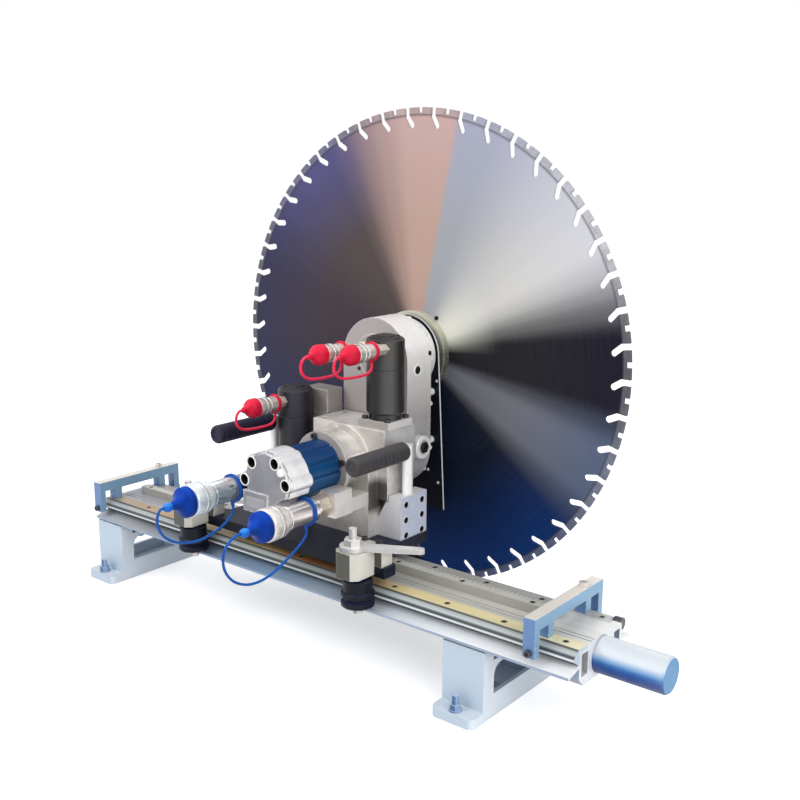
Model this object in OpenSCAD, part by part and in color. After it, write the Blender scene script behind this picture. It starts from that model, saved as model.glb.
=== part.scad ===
// Rail-mounted hydraulic wall saw with its carriage, swing arm and segmented blade.
// X runs along the rail, Y from the motor side to the blade side, Z up from the floor.
// The origin lies on the floor, midway between the anchor slots of the two feet.

/* [Feet] */
// Distance between the centres of the two feet
foot_span = 800; // [700:5:900]
// Width of a foot along the rail
foot_w = 70; // [60:1:80]
// Length of a foot across the rail
foot_len = 220; // [210:1:240]
// Thickness of a foot's base plate
foot_base_t = 15; // [10:1:20]
// Height of the saddle floor that carries the beam
saddle_z = 86; // [76:1:100]
// Thickness of the saddle floor
saddle_t = 8; // [6:1:12]
// Thickness of a foot's front and rear posts
post_t = 24; // [18:1:28]
// Height of the posts above the saddle floor
post_rise = 18; // [10:1:21]
// Radius of the arch corners
arch_r = 18; // [8:1:22]
// Height of the two ribs above the base plate
foot_rib_h = 20; // [10:1:26]
// Thickness of the two ribs
foot_rib_t = 7; // [4:1:12]
// Length of an anchor slot
anchor_slot_len = 36; // [24:1:44]
// Width of an anchor slot
anchor_slot_w = 14; // [10:1:18]
// Distance of a levelling bolt from the foot's end
level_bolt_inset = 12; // [9:0.5:13]
// Radius of a levelling bolt
level_bolt_r = 5; // [4:0.5:6]

/* [Rail] */
// Length of the rail
rail_len = 1000; // [940:5:1200]
// Length of rail left of the left foot's centre
rail_overhang = 34; // [30:1:60]
// Width of the beam's body
beam_w = 116; // [110:1:124]
// Chamfer along the lower edges of the beam
beam_chamfer = 12; // [8:1:14]
// Height of the beam
beam_h = 56; // [55:1:66]
// Reach of each wing beyond the beam's body
wing_reach = 28; // [24:0.5:29]
// Drop of a wing from its root to its edge
wing_drop = 8; // [6:0.5:12]
// Thickness of a wing
wing_t = 4; // [3:0.5:5]
// Outer radius of the joining tube
tube_r = 25.5; // [20:0.5:25.5]
// Wall of the joining tube
tube_wall = 6; // [4:0.5:8]
// Length of the joining tube inside the beam
tube_in = 126; // [80:1:160]
// Length of the joining tube outside the beam
tube_out = 100; // [60:1:120]
// Depth of the reamed socket at the rail's left end
socket_depth = 110; // [80:1:140]
// Width of a wear strip's flat on top of the beam
strip_w = 23; // [18:1:26]
// Thickness of a wear strip's flat
strip_t = 5; // [4:0.5:6]
// Reach of the V edge beyond the strip's flat
vee_reach = 15; // [13:0.5:16]
// Half height of the V edge
vee_rise = 11; // [10:0.5:12]
// Pitch of the strip screws
strip_pitch = 96; // [80:1:120]
// Height of the gear rack
rack_h = 14; // [12:0.5:16]
// Width of the rack behind its teeth
rack_back = 13; // [10:0.5:16]

/* [End stops] */
// Thickness of an end stop along the rail
stop_t = 18; // [12:1:24]
// Distance of the left end stop's centre from the rail's end
stop_inset_left = 14; // [12:1:30]
// Distance of the right end stop's centre from the rail's end
stop_inset_right = 57; // [30:1:70]
// Height of an end stop's crossbar
stop_bar_h = 17; // [12:1:22]
// Thickness of an end stop's legs
stop_leg_t = 12; // [8:1:14]
// Gap between an end stop's leg and the V edge
stop_gap = 3; // [1:0.5:5]

/* [Carriage] */
// Place of the carriage's centre along the rail
car_x = 37.5; // [0:0.5:60]
// Length of the carriage plate
plate_len = 429; // [425:1:450]
// Thickness of the carriage plate
plate_t = 16; // [12:1:20]
// Gap between the rack and the carriage plate
plate_gap = 4; // [3:0.5:6]
// Distance from the carriage's centre to a roller
roller_dx = 182.5; // [178:0.5:186]
// Distance from the carriage's centre to a rear roller
rear_dx = 147.5; // [140:0.5:150]
// Radius of a front roller
roller_r = 25; // [24:0.5:26]
// Radius of a rear roller
rear_roller_r = 15; // [14:0.5:15]
// Depth of a roller's groove
groove_d = 5.5; // [4.5:0.5:6]
// Height of a roller
roller_h = 23.3; // [20:0.5:23.5]
// Gap between a V edge and the bottom of a roller's groove
vee_gap = 0.3; // [0.2:0.05:0.5]
// Eccentric throw of a front roller
ecc = 9; // [8:0.5:10]
// Radius of an eccentric shaft
ecc_r = 14; // [13:0.5:16]
// Height of a roller block above the plate
block_rise = 27; // [20:1:34]
// Length of a lock lever
lever_len = 98; // [80:1:130]
// Thickness of a lock lever
lever_t = 7; // [5:0.5:9]
// Radial clearance of every running fit
run_fit = 0.05; // [0.02:0.01:0.08]

/* [Gearbox] */
// Offset of the swing axis from the carriage's centre
pivot_dx = 47.5; // [45:0.5:50]
// Height of the swing axis above the carriage plate
pivot_h = 116; // [112:1:120]
// Radius of the gearbox barrel
barrel_r = 58; // [56:0.5:60]
// Radius of the barrel's nose behind the motor
nose_r = 46; // [44:0.5:48]
// Outer radius of the arm's hub tube
hub_r = 30; // [28:0.5:31]
// Outer radius of a hub bearing
hub_bearing_r = 44; // [40:0.5:46]
// Number of teeth of the swing wheel
wheel_teeth = 40; // [40:1:40]
// Pitch radius of the swing wheel
wheel_r = 45; // [43:0.5:46]
// Pitch radius of the swing worm
worm_r = 15; // [14:0.5:16]
// Depth of the worm's thread from its mean radius
thread_a = 1.4; // [1:0.1:1.6]
// Play between worm and wheel
worm_play = 0.4; // [0.3:0.05:0.6]
// Radius of the swing motor
swing_motor_r = 30; // [26:0.5:31]
// Height of the swing motor
swing_motor_h = 128; // [120:1:150]
// Radius of the feed motor
feed_motor_r = 29; // [26:0.5:29]
// Height of the feed motor
feed_motor_h = 123; // [118:1:140]
// Radius of the main motor
motor_r = 42; // [38:0.5:43]
// Length of the main motor's ribbed body
motor_len = 72; // [60:1:78]
// Length of the main motor's end cap
cap_len = 46; // [36:1:52]
// Radius of the end cap between its bolt lobes
cap_r = 46; // [44:0.5:48]
// Height of the side bracket
bracket_h = 69; // [60:1:76]
// Height of the feed gearbox
tower_h = 86; // [80:1:92]
// Radius of a hand grip
grip_r = 15; // [13:0.5:18]
// Length of a hand grip
grip_len = 123; // [90:1:130]
// Radius of the posts that carry the grips
post_r = 8.5; // [7:0.5:9]
// Height of the right grip above the carriage plate
right_grip_rise = 140; // [130:1:150]
// Height of the left grip above the feed gearbox
left_grip_rise = 65; // [55:1:75]

/* [Arm and blade] */
// Distance from the swing axis to the blade spindle
arm_len = 150; // [150:3:150]
// Outer radius of the arm's ends
arm_r = 68; // [66:0.5:70]
// Wall of the arm's shell
arm_wall = 7; // [6:0.5:8]
// Depth of the arm's shell along the spindle
arm_depth = 56; // [52:1:60]
// Radius of the blade
blade_r = 400; // [350:5:400]
// Thickness of the blade's core
core_t = 4.4; // [3:0.1:5]
// Thickness of a segment
seg_t = 5.2; // [5:0.1:6]
// Radial height of a segment
seg_h = 12; // [8:0.5:15]
// Number of segments
seg_count = 46; // [30:1:60]
// Radius of a blade flange
flange_r = 70; // [60:1:90]
// Bore radius of the blade
blade_bore_r = 30; // [28:0.5:32]

/* [Couplers] */
// Radius of a main coupler's barrel
main_barrel_r = 18.5; // [16:0.5:18.5]
// Radius of a main coupler's collar
main_collar_r = 25; // [21:0.5:26]
// Radius of a small coupler's body
small_body_r = 12; // [10:0.5:13]
// Radius of a small coupler's collar
small_collar_r = 14; // [13:0.5:16]
// Diameter of a main cap's lanyard
main_cord_d = 4; // [3:0.5:5]
// Diameter of a small cap's lanyard
small_cord_d = 4.4; // [3:0.1:5]

/* [Hidden] */
$fn = 64;
eps = 0.01;

// Places on the rail
rail_x0 = -foot_span / 2 - rail_overhang;
rail_x1 = rail_x0 + rail_len;
top_z = saddle_z + beam_h;
half_w = beam_w / 2;
flat_y = half_w + 3;
tip_y = flat_y + vee_reach;
tip_z = top_z - vee_rise;
root_z = tip_z - vee_rise;
bore_z = saddle_z + beam_h / 2;
raw_bore_r = tube_r - 1.2;
tube_groove = 0.6;
tube_groove_w = 2;
tube_lead = 3;
tube_end_t = 10;
strip_screw_y = flat_y - strip_w / 2;
stop_x = [rail_x0 + stop_inset_left, rail_x1 - stop_inset_right];
stop_in_y = tip_y + stop_gap;
stop_out_y = stop_in_y + stop_leg_t;
stop_leg_z = tip_z - 7;
rack_end_gap = 3;
rear_strip_short = 16;
level_y = foot_len / 2 - level_bolt_inset;
saddle_screw_x = 22;
saddle_screw_y = half_w - 27;

// Rack and pinion
rack_m = 2.5;
pinion_teeth = 16;
rack_pitch = PI * rack_m;
pinion_r = rack_m * pinion_teeth / 2;
feed_y = 32;
feed_x = car_x - 64.5;
rack_y = feed_y - pinion_r;
first_gap = ceil((stop_x[0] + stop_t / 2 + rack_end_gap - feed_x) / rack_pitch);
last_gap = floor((stop_x[1] - stop_t / 2 - rack_end_gap - feed_x) / rack_pitch);
rack_x0 = feed_x + first_gap * rack_pitch;
rack_x1 = feed_x + last_gap * rack_pitch;

// Places on the carriage
plate_z = top_z + rack_h + plate_gap;
deck_z = plate_z + plate_t;
plate_x0 = car_x - plate_len / 2;
plate_x1 = car_x + plate_len / 2;
rear_x0 = car_x - rear_dx - 15;
rear_x1 = car_x + rear_dx + 15;
plate_y0 = -tip_y + 2;
plate_y1 = 98;
front_groove_r = roller_r - groove_d;
rear_groove_r = rear_roller_r - groove_d;
front_y = -(tip_y + vee_gap + front_groove_r);
rear_y = tip_y + vee_gap + rear_groove_r;
roller_z = tip_z - roller_h / 2 + 0.3;
roller_xs = [car_x - roller_dx, car_x + roller_dx];
rear_xs = [car_x - rear_dx, car_x + rear_dx];
roller_pin_r = 8;
roller_sleeve = 29;
rear_pin_r = 5;
block_y0 = front_y - 22;
block_z0 = tip_z + 32;
block_w = 22;
block_z1 = deck_z + block_rise;
pivot_x = car_x + pivot_dx;
pivot_z = deck_z + pivot_h;
spin_z = pivot_z + arm_len;
arm_y0 = 102;
arm_y1 = arm_y0 + arm_depth;
cover_t = 6;
cover_y = arm_y1 + cover_t;
box_y1 = arm_y0 - 4;
nose_y = -20;
ring_t = 8;
motor_y1 = nose_y - ring_t;
motor_y0 = motor_y1 - motor_len;
cap_y = motor_y0 - cap_len;
worm_x = pivot_x + wheel_r + worm_r;
bracket_x0 = pivot_x + 65;
bracket_x1 = pivot_x + 112;
bracket_z1 = deck_z + bracket_h;
worm_y = 57;
ledge_z = pivot_z + barrel_r;
swing_flange_t = 12;
feed_flange_t = 7;
tower_z = deck_z + tower_h;
swing_motor_z = ledge_z + swing_flange_t;
feed_motor_z = tower_z + feed_flange_t;
shaft_r = 12;
feed_shaft_r = 10;
worm_journal_r = 8;
bearing_w = 18;
wheel_w = 24;
pocket_r = 6.5;
pocket_d = 14;

// Places on the arm
gear_m = 3;
drive_teeth = 24;
idler_teeth = 26;
gear_y0 = arm_y0 + 19;
gear_w = 26;
idler_z = pivot_z + gear_m * (drive_teeth + idler_teeth) / 2;
idler_pin_r = 12;
front_wall = 10;
spindle_nose_r = 15;
spindle_r = 20;
front_bearing_r = 26;
rear_bearing_r = 32;
boss_r = 60;
boss_len = 22;
guard_y = cover_y + boss_len + 2;
guard_t = 3;
blade_y = cover_y + 48;
core_y0 = blade_y - core_t / 2;
core_y1 = blade_y + core_t / 2;
inner_flange_t = 13.5;
outer_flange_t = 12;
slot_w = 10;
slot_angle = -63.3;
slot_bend = 14;
slot_depth = 28;
slot_lean = 9;

// Places of the hydraulic ports
right_port = [pivot_x + 43, -66, pivot_z - 46];
left_port = [pivot_x - 75, -85, pivot_z - 24];
port_hex = 25;
right_barrel = 66;
left_barrel = 85;
main_collar = 36;
ring_to_collar = 50;
plug_r = 13;
plug_len = 12;
swing_port_z = swing_motor_z + swing_motor_h - 14;
front_swing_port = [worm_x + 15, 14, swing_port_z];
rear_swing_port = [worm_x - 23, -12, swing_port_z];
feed_port = [feed_x, -8, feed_motor_z + feed_motor_h - 19];
small_len = 49;
small_collar = 20;
small_ring_y = -8;
small_plug_r = 6;
small_plug_len = 8;

// Lanyard routes, from the tip of a cap to the lug of its ring
right_route = [[128, -237, 246], [128, -246, 246], [127, -256, 241], [126, -265, 231],
    [126, -269, 216], [126, -265, 198], [127, -252, 181], [128, -232, 170], [128, -212, 166],
    [128, -192, 167], [128, -170, 173], [128, -150, 182], [128, -132, 191], [128, -117, 200],
    [128, -107, 210], [128, -107, 218]];
left_route = [[10, -275, 268], [10, -281, 268], [10, -286, 261], [9, -287, 250], [9, -283, 236],
    [9, -272, 222], [9, -254, 211], [10, -232, 205], [10, -210, 203], [10, -190, 206],
    [10, -172, 211], [10, -158, 218], [10, -145, 230], [10, -145, 240]];
front_swing_route = [[160, -64, 476], [160, -70, 476], [161, -77, 471], [161, -79, 462],
    [161, -76, 453], [161, -66, 446], [161, -50, 443], [161, -30, 442], [160, -12, 442],
    [160, 1, 445], [160, 6, 452], [160, 6, 458]];
rear_swing_route = [[122, -90, 476], [122, -96, 476], [121, -103, 471], [120, -105, 462],
    [120, -102, 452], [121, -92, 444], [121, -76, 441], [121, -56, 440], [122, -38, 441],
    [122, -25, 445], [122, -20, 452], [122, -20, 458]];
feed_route = [[-27, -86, 373], [-27, -92, 373], [-27, -98, 368], [-27, -100, 359],
    [-27, -97, 350], [-27, -87, 343], [-27, -70, 340], [-27, -50, 339], [-27, -32, 339],
    [-27, -21, 342], [-27, -16, 349], [-27, -16, 355]];

// Helpers that lay a flat outline across an axis
module along_x(x0, x1) translate([x0, 0, 0]) rotate([90, 0, 90]) linear_extrude(x1 - x0) children();
module along_y(y0, y1) translate([0, y1, 0]) rotate([90, 0, 0]) linear_extrude(y1 - y0) children();
module along_z(z0, z1) translate([0, 0, z0]) linear_extrude(z1 - z0) children();
module block(a, b) translate(a) cube(b - a);

// A round bar along Y, given by its centre in X and Z
module bar_y(x, z, r, y0, y1, fn = 64)
    translate([x, y1, z]) rotate([90, 0, 0]) cylinder(r = r, h = y1 - y0, $fn = fn);
module bar_z(x, y, r, z0, z1, fn = 64)
    translate([x, y, z0]) cylinder(r = r, h = z1 - z0, $fn = fn);

// A socket screw with its head up and its shank down
module cap_screw(r, len) {
    difference() {
        cylinder(r = r * 1.7, h = r * 1.6);
        translate([0, 0, r * 0.7]) cylinder(r = r, h = r * 1.6, $fn = 6);
    }
    translate([0, 0, -len]) cylinder(r = r, h = len + eps);
}
module screw_hole(r, len) translate([0, 0, -len]) cylinder(r = r + 0.1, h = len + r * 2);

// Involute gear outline
function inv(a) = tan(a) * 180 / PI - a;
function tooth_half(z, m, rho, thin) = let (r = z * m / 2, rb = r * cos(20))
    90 / z - thin * 90 / (PI * r) + inv(20) - inv(acos(min(1, rb / rho)));
function polar(r, a) = [r * cos(a), r * sin(a)];
function gear_tooth(z, m, thin, a) = let (r = z * m / 2, rb = r * cos(20), rf = r - 1.2 * m,
    ra = r + 0.94 * m, steps = [rb, (rb + r) / 2, r, (r + ra) / 2, ra])
    concat([polar(rf, a - tooth_half(z, m, rb, thin))],
        [for (s = steps) polar(s, a - tooth_half(z, m, s, thin))],
        [for (i = [4:-1:0]) polar(steps[i], a + tooth_half(z, m, steps[i], thin))],
        [polar(rf, a + tooth_half(z, m, rb, thin))]);
module gear_outline(z, m, thin, phase)
    polygon([for (i = [0:z - 1], p = gear_tooth(z, m, thin, phase + 360 * i / z)) p]);

// A tube swept along a list of points, with its ends square to the path
function unit(v) = v / norm(v);
function path_dir(p, i) = unit(i == 0 ? p[1] - p[0] : i == len(p) - 1 ? p[i] - p[i - 1]
    : unit(p[i + 1] - p[i]) + unit(p[i] - p[i - 1]));
function ring(c, t, r, n) = let (u = unit(cross(t, [1, 0, 0])), v = cross(t, u))
    [for (k = [0:n - 1]) c + r * (cos(360 * k / n) * u + sin(360 * k / n) * v)];
module cord(p, d) {
    n = 8;
    m = len(p);
    pts = [for (i = [0:m - 1], q = ring(p[i], path_dir(p, i), d / 2, n)) q];
    sides = [for (i = [0:m - 2], k = [0:n - 1]) let (a = i * n + k, b = i * n + (k + 1) % n)
        [a, b, b + n, a + n]];
    quads = [for (f = sides, t = [[f[0], f[1], f[2]], [f[0], f[2], f[3]]]) t];
    ends = [[for (k = [n - 1:-1:0]) k], [for (k = [0:n - 1]) (m - 1) * n + k]];
    polyhedron(pts, concat(quads, ends), convexity = 6);
}

// Beam outline across the rail
module beam_outline() {
    difference() {
        union() {
            polygon([[-half_w, root_z], [-half_w, saddle_z + beam_chamfer], [-half_w + beam_chamfer,
                saddle_z], [half_w - beam_chamfer, saddle_z], [half_w, saddle_z + beam_chamfer],
                [half_w, root_z]]);
            translate([-half_w, root_z - eps]) square([beam_w, beam_h - strip_t - root_z + saddle_z + eps]);
            translate([-flat_y + strip_w, top_z - strip_t - eps])
                square([2 * (flat_y - strip_w), strip_t + eps]);
            both_wings();
        }
        translate([0, bore_z]) circle(r = raw_bore_r);
        for (s = [-1, 1]) translate([s * (half_w - 14) - 8, saddle_z + 14]) square([16, 32]);
        for (y = [-30, -22]) translate([y, top_z - 1.5]) square([3, 2]);
    }
}
module both_wings() for (s = [0, 1]) mirror([s, 0])
    polygon([[half_w - 1, root_z], [half_w, root_z], [half_w + wing_reach, root_z - wing_drop],
        [half_w + wing_reach, root_z - wing_drop - wing_t], [half_w, root_z - wing_t - 1],
        [half_w - 1, root_z - wing_t - 1]]);
strip_screw_n = floor((rail_len - 40) / strip_pitch);
module strip_screw_places() for (i = [0:strip_screw_n], s = [-1, 1])
    translate([rail_x1 - 26 - i * strip_pitch, s * strip_screw_y, top_z]) children();
module saddle_screw_places() for (s = [-1, 1], t = [-1, 1], u = [-1, 1])
    translate([s * foot_span / 2 + t * saddle_screw_x, u * saddle_screw_y, saddle_z - saddle_t])
    children();
rack_screw_n = floor((rack_x1 - rack_x0 - 40) / 120);
module rack_screw_places() for (i = [0:rack_screw_n])
    translate([rack_x0 + 20 + i * 120, rack_y - rack_back / 2 - 2, top_z + rack_h]) children();

module rail_beam() color("silver") difference() {
    along_x(rail_x0, rail_x1) beam_outline();
    translate([0, 0, bore_z]) {
        bar_x(tube_r + run_fit, rail_x0 - 1, rail_x0 + socket_depth);
        bar_x(tube_r + run_fit, rail_x1 - tube_in - 2, rail_x1 + 1);
    }
    strip_screw_places() bar_z(0, 0, 2.6, -14, 1);
    saddle_screw_places() bar_z(0, 0, 4.1, 0, 14);
    rack_screw_places() bar_z(0, 0, 2.6, -rack_h - 2, 1);
}

module strip_outline() polygon([[flat_y - strip_w, top_z - strip_t], [flat_y - strip_w, top_z],
    [flat_y, top_z], [tip_y, tip_z], [flat_y, root_z], [half_w, root_z],
    [half_w, top_z - strip_t]]);
module wear_strips() color("khaki") difference() {
    union() {
        along_x(rail_x0, rail_x1) mirror([1, 0]) strip_outline();
        along_x(rail_x0, rail_x1 - rear_strip_short) strip_outline();
    }
    strip_screw_places() {
        bar_z(0, 0, 4.3, -2.5, 1);
        bar_z(0, 0, 2.6, -14, 1);
    }
    end_bolt_place() bar_x(3.1, -20, 1);
}

// The bolt that holds the end of the rear strip
module bar_x(r, x0, x1) translate([x0, 0, 0]) rotate([0, 90, 0]) cylinder(r = r, h = x1 - x0);
module end_bolt_place() translate([rail_x1 - rear_strip_short, flat_y + 7, tip_z]) children();

// Rack teeth point away from the motor side, with a gap opposite the pinion
function rack_tooth(x) = let (w = rack_pitch / 4 - 0.15, a = tan(20)) [
    [x - w - 3.1 * a, rack_y - 3.1], [x - w + 2.2 * a, rack_y + 2.2],
    [x + w - 2.2 * a, rack_y + 2.2], [x + w + 3.1 * a, rack_y - 3.1]];
rack_teeth = [for (k = [first_gap:last_gap - 1], q = rack_tooth(feed_x + (k + 0.5) * rack_pitch)) q];
module gear_rack() color("dimgray") difference() {
    along_z(top_z, top_z + rack_h) polygon(concat([[rack_x0, rack_y - 3.1]], rack_teeth,
        [[rack_x1, rack_y - 3.1], [rack_x1, rack_y - 3.1 - rack_back],
        [rack_x0, rack_y - 3.1 - rack_back]]));
    rack_screw_places() {
        bar_z(0, 0, 4.3, -5, 1);
        bar_z(0, 0, 2.6, -rack_h - 1, 1);
    }
}

module rail_screws() color("gray") {
    strip_screw_places() difference() {
        union() {
            bar_z(0, 0, 4.2, -2.4, -0.2);
            bar_z(0, 0, 2.5, -11, -2.3);
        }
        bar_z(0, 0, 2, -1.6, 1, 6);
    }
    rack_screw_places() difference() {
        union() {
            bar_z(0, 0, 4.2, -4.9, -0.5);
            bar_z(0, 0, 2.5, -rack_h - 1.8, -4.8);
        }
        bar_z(0, 0, 2, -3, 1, 6);
    }
    end_bolt_place() {
        bar_x(9, 0, 12);
        bar_x(3, -18, 1);
    }
    for (x = stop_x) {
        stop_screw_places(x) cap_screw(3, stop_out_y - tip_y);
        stop_top_place(x) cap_screw(4, 29);
    }
}

module joining_tube() color("gainsboro") translate([rail_x1, 0, bore_z]) rotate([0, 90, 0])
    rotate_extrude() polygon([[tube_r - tube_wall, -tube_in], [tube_r, -tube_in], [tube_r, -1],
        [tube_r - tube_groove, -1], [tube_r - tube_groove, tube_groove_w], [tube_r, tube_groove_w],
        [tube_r, tube_out - tube_lead], [tube_r - 2, tube_out], [0, tube_out],
        [0, tube_out - tube_end_t], [tube_r - tube_wall, tube_out - tube_end_t]]);

// Arch under the saddle, from the base ribs up to the saddle floor
module arch_outline() {
    z0 = foot_base_t + foot_rib_h;
    z1 = saddle_z - saddle_t;
    y1 = half_w - 1;
    translate([-y1, z0]) square([2 * y1, z1 - z0 - arch_r]);
    translate([-y1 + arch_r, z0]) square([2 * (y1 - arch_r), z1 - z0]);
    for (s = [-1, 1]) translate([s * (y1 - arch_r), z1 - arch_r]) circle(r = arch_r);
}
module foot(x) translate([x, 0, 0]) difference() {
    union() {
        along_x(-foot_w / 2, foot_w / 2) difference() {
            union() {
                translate([-foot_len / 2, 0]) square([foot_len, foot_base_t]);
                translate([-half_w - post_t, foot_base_t - eps])
                    square([beam_w + 2 * post_t, saddle_z + post_rise - foot_base_t + eps]);
            }
            translate([-half_w - 0.1, saddle_z]) square([beam_w + 0.2, post_rise + 1]);
            arch_outline();
        }
    }
    block([-foot_w / 2 + foot_rib_t, -half_w + 1, foot_base_t], [foot_w / 2 - foot_rib_t, half_w - 1,
        foot_base_t + foot_rib_h + eps]);
    anchor_slot();
    for (s = [-1, 1]) bar_z(0, s * level_y, level_bolt_r + 0.1, -1, foot_base_t + 1);
    for (t = [-1, 1], u = [-1, 1])
        bar_z(t * saddle_screw_x, u * saddle_screw_y, 4.1, saddle_z - 12, saddle_z + 1);
    for (s = [0, 1], t = [0, 1]) mirror([s, 0, 0]) mirror([0, t, 0])
        translate([foot_w / 2, foot_len / 2, 0]) corner_cut(10, foot_base_t);
}
module corner_cut(r, h) translate([0, 0, -1]) linear_extrude(h + 2) difference() {
    translate([-r, -r]) square([r + 1, r + 1]);
    translate([-r, -r]) circle(r = r);
}
module anchor_slot() {
    s = (anchor_slot_len - anchor_slot_w) / 2;
    for (t = [-1, 1]) bar_z(t * s, 0, anchor_slot_w / 2, -1, foot_base_t + 1);
    block([-s, -anchor_slot_w / 2, -1], [s, anchor_slot_w / 2, foot_base_t + 1]);
}
module left_foot() color("lightsteelblue") foot(-foot_span / 2);
module right_foot() color("lightsteelblue") foot(foot_span / 2);

module foot_bolts() color("lightslategray") {
    for (s = [-1, 1], t = [-1, 1]) translate([s * foot_span / 2, t * level_y, 0]) {
        bar_z(0, 0, level_bolt_r, 0, 38);
        difference() {
            union() {
                bar_z(0, 0, 9.5, foot_base_t, foot_base_t + 2);
                bar_z(0, 0, 8.2, foot_base_t + 2, foot_base_t + 10, 6);
            }
            bar_z(0, 0, level_bolt_r - 0.5, 0, 38);
        }
    }
    saddle_screw_places() rotate([180, 0, 0]) cap_screw(4, 12);
}

module stop_screw_places(x) for (s = [-1, 1]) translate([x, s * stop_out_y, tip_z])
    rotate([-s * 90, 0, 0]) children();
stop_bar_z = top_z + rack_h + plate_gap + 2;
module end_stops() color("lightgray") for (x = stop_x) difference() {
    union() {
        along_x(x - stop_t / 2, x + stop_t / 2) {
            translate([-stop_out_y, stop_bar_z]) square([2 * stop_out_y, stop_bar_h]);
            for (s = [-1, 1]) translate([s * (stop_out_y - stop_leg_t / 2) - stop_leg_t / 2, stop_leg_z])
                square([stop_leg_t, stop_bar_z - stop_leg_z + eps]);
            for (y = [-flat_y + 4, flat_y - 18]) translate([y, top_z]) square([14, stop_bar_z - top_z + eps]);
        }
    }
    stop_screw_places(x) bar_z(0, 0, 3.1, -stop_leg_t - 1, 1);
    stop_top_place(x) screw_hole(4, 30);
}
module stop_top_place(x) translate([x, flat_y - 11, stop_bar_z + stop_bar_h]) children();

// Carriage plate with the bore for the feed shaft
module carriage_base() color("darkslategray") difference() {
    along_z(plate_z, deck_z) polygon([[plate_x0, plate_y0], [plate_x1, plate_y0],
        [plate_x1, -48], [rear_x1, -30], [rear_x1, plate_y1], [rear_x0, plate_y1],
        [rear_x0, -30], [plate_x0, -48]]);
    bar_z(feed_x, feed_y, feed_shaft_r + 0.3, plate_z - 1, deck_z + 1);
    for (x = rear_xs) bar_z(x, rear_y, rear_pin_r, plate_z - 1, deck_z - 4);
    deck_screw_places() {
        screw_hole(4, 14);
        cylinder(r = 7.5, h = 8);
    }
    block_screw_places() screw_hole(3, 40);
}
deck_spots = [[pivot_x - 55, 17], [pivot_x + 57, 17], [pivot_x - 55, 90], [pivot_x + 57, 90],
    [feed_x - 20, 14], [bracket_x0 + 20, 46], [bracket_x0 + 15, 68]];
module deck_screw_places() for (p = deck_spots) translate([p[0], p[1], plate_z + 7])
    rotate([180, 0, 0]) children();
module block_screw_places() for (x = roller_xs, t = [-1, 1])
    translate([x - ecc + t * 14, -54, block_z1]) children();

// Blocks that hold the eccentric shafts of the front rollers
module roller_blocks() color("tan") for (x = roller_xs) difference() {
    union() {
        along_z(block_z0, block_z1) translate([x - ecc, 0]) polygon([[-block_w, plate_y0],
            [-block_w, block_y0 + 9], [9 - block_w, block_y0], [block_w - 9, block_y0],
            [block_w, block_y0 + 9], [block_w, plate_y0]]);
        block([x - ecc - block_w, plate_y0 - eps, deck_z], [x + shoulder_x, -50, block_z1]);
    }
    bar_z(x - ecc, front_y, ecc_r + run_fit, block_z0 - 1, block_z1 + 1);
    block_screw_places() screw_hole(3, 40);
}
shoulder_x = 27;

module front_roller(x) translate([x, front_y, 0]) rotate_extrude() {
    roller_outline(roller_r, roller_pin_r);
    translate([roller_pin_r + run_fit, roller_z + roller_h - eps])
        square([roller_r - 3 - roller_pin_r - run_fit, tip_z + roller_sleeve - roller_z - roller_h]);
}
module rear_roller(x) translate([x, rear_y, 0]) rotate_extrude() roller_outline(rear_roller_r, rear_pin_r);
module roller_outline(r, pin) {
    g = r - groove_d;
    k = vee_rise / vee_reach;
    polygon([[pin + run_fit, roller_z], [r - 2, roller_z], [r, roller_z + 2],
        [r, tip_z - groove_d * k - 0.5], [g, tip_z - 0.3], [g, tip_z + 0.3],
        [r, tip_z + groove_d * k + 0.5], [r, roller_z + roller_h - 2],
        [r - 2, roller_z + roller_h], [pin + run_fit, roller_z + roller_h]]);
}
module front_left_roller() color("black") front_roller(roller_xs[0]);
module front_right_roller() color("black") front_roller(roller_xs[1]);
module rear_left_roller() color("black") rear_roller(rear_xs[0]);
module rear_right_roller() color("black") rear_roller(rear_xs[1]);

// Eccentric shaft, its roller pin and its lever in one turned and welded piece
lever_tilt = 30;
module lock_lever(x) {
    px = x - ecc;
    bar_z(px, front_y, ecc_r, block_z0 - 1.5, block_z1 + 0.4);
    bar_z(x, front_y, roller_pin_r, roller_z - 1, block_z0 - 1.4);
    bar_z(x, front_y, 12, roller_z - 3, roller_z - 0.3);
    bar_z(x, front_y, 7.4, roller_z - 12, roller_z - 2.9, 6);
    translate([px, front_y, 0]) rotate(lever_tilt) along_z(block_z1 + 0.3, block_z1 + 0.3 + lever_t) {
        circle(r = 20);
        polygon([[0, -10], [lever_len, -7], [lever_len, 7], [0, 10]]);
        translate([lever_len, 0]) circle(r = 7);
    }
    bar_z(px, front_y, 13.5, block_z1 + lever_t, block_z1 + lever_t + 10, 6);
    bar_z(px, front_y, 6, block_z1 + lever_t + 9.9, block_z1 + lever_t + 26);
}
module left_lock_lever() color("silver") lock_lever(roller_xs[0]);
module right_lock_lever() color("silver") lock_lever(roller_xs[1]);

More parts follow.
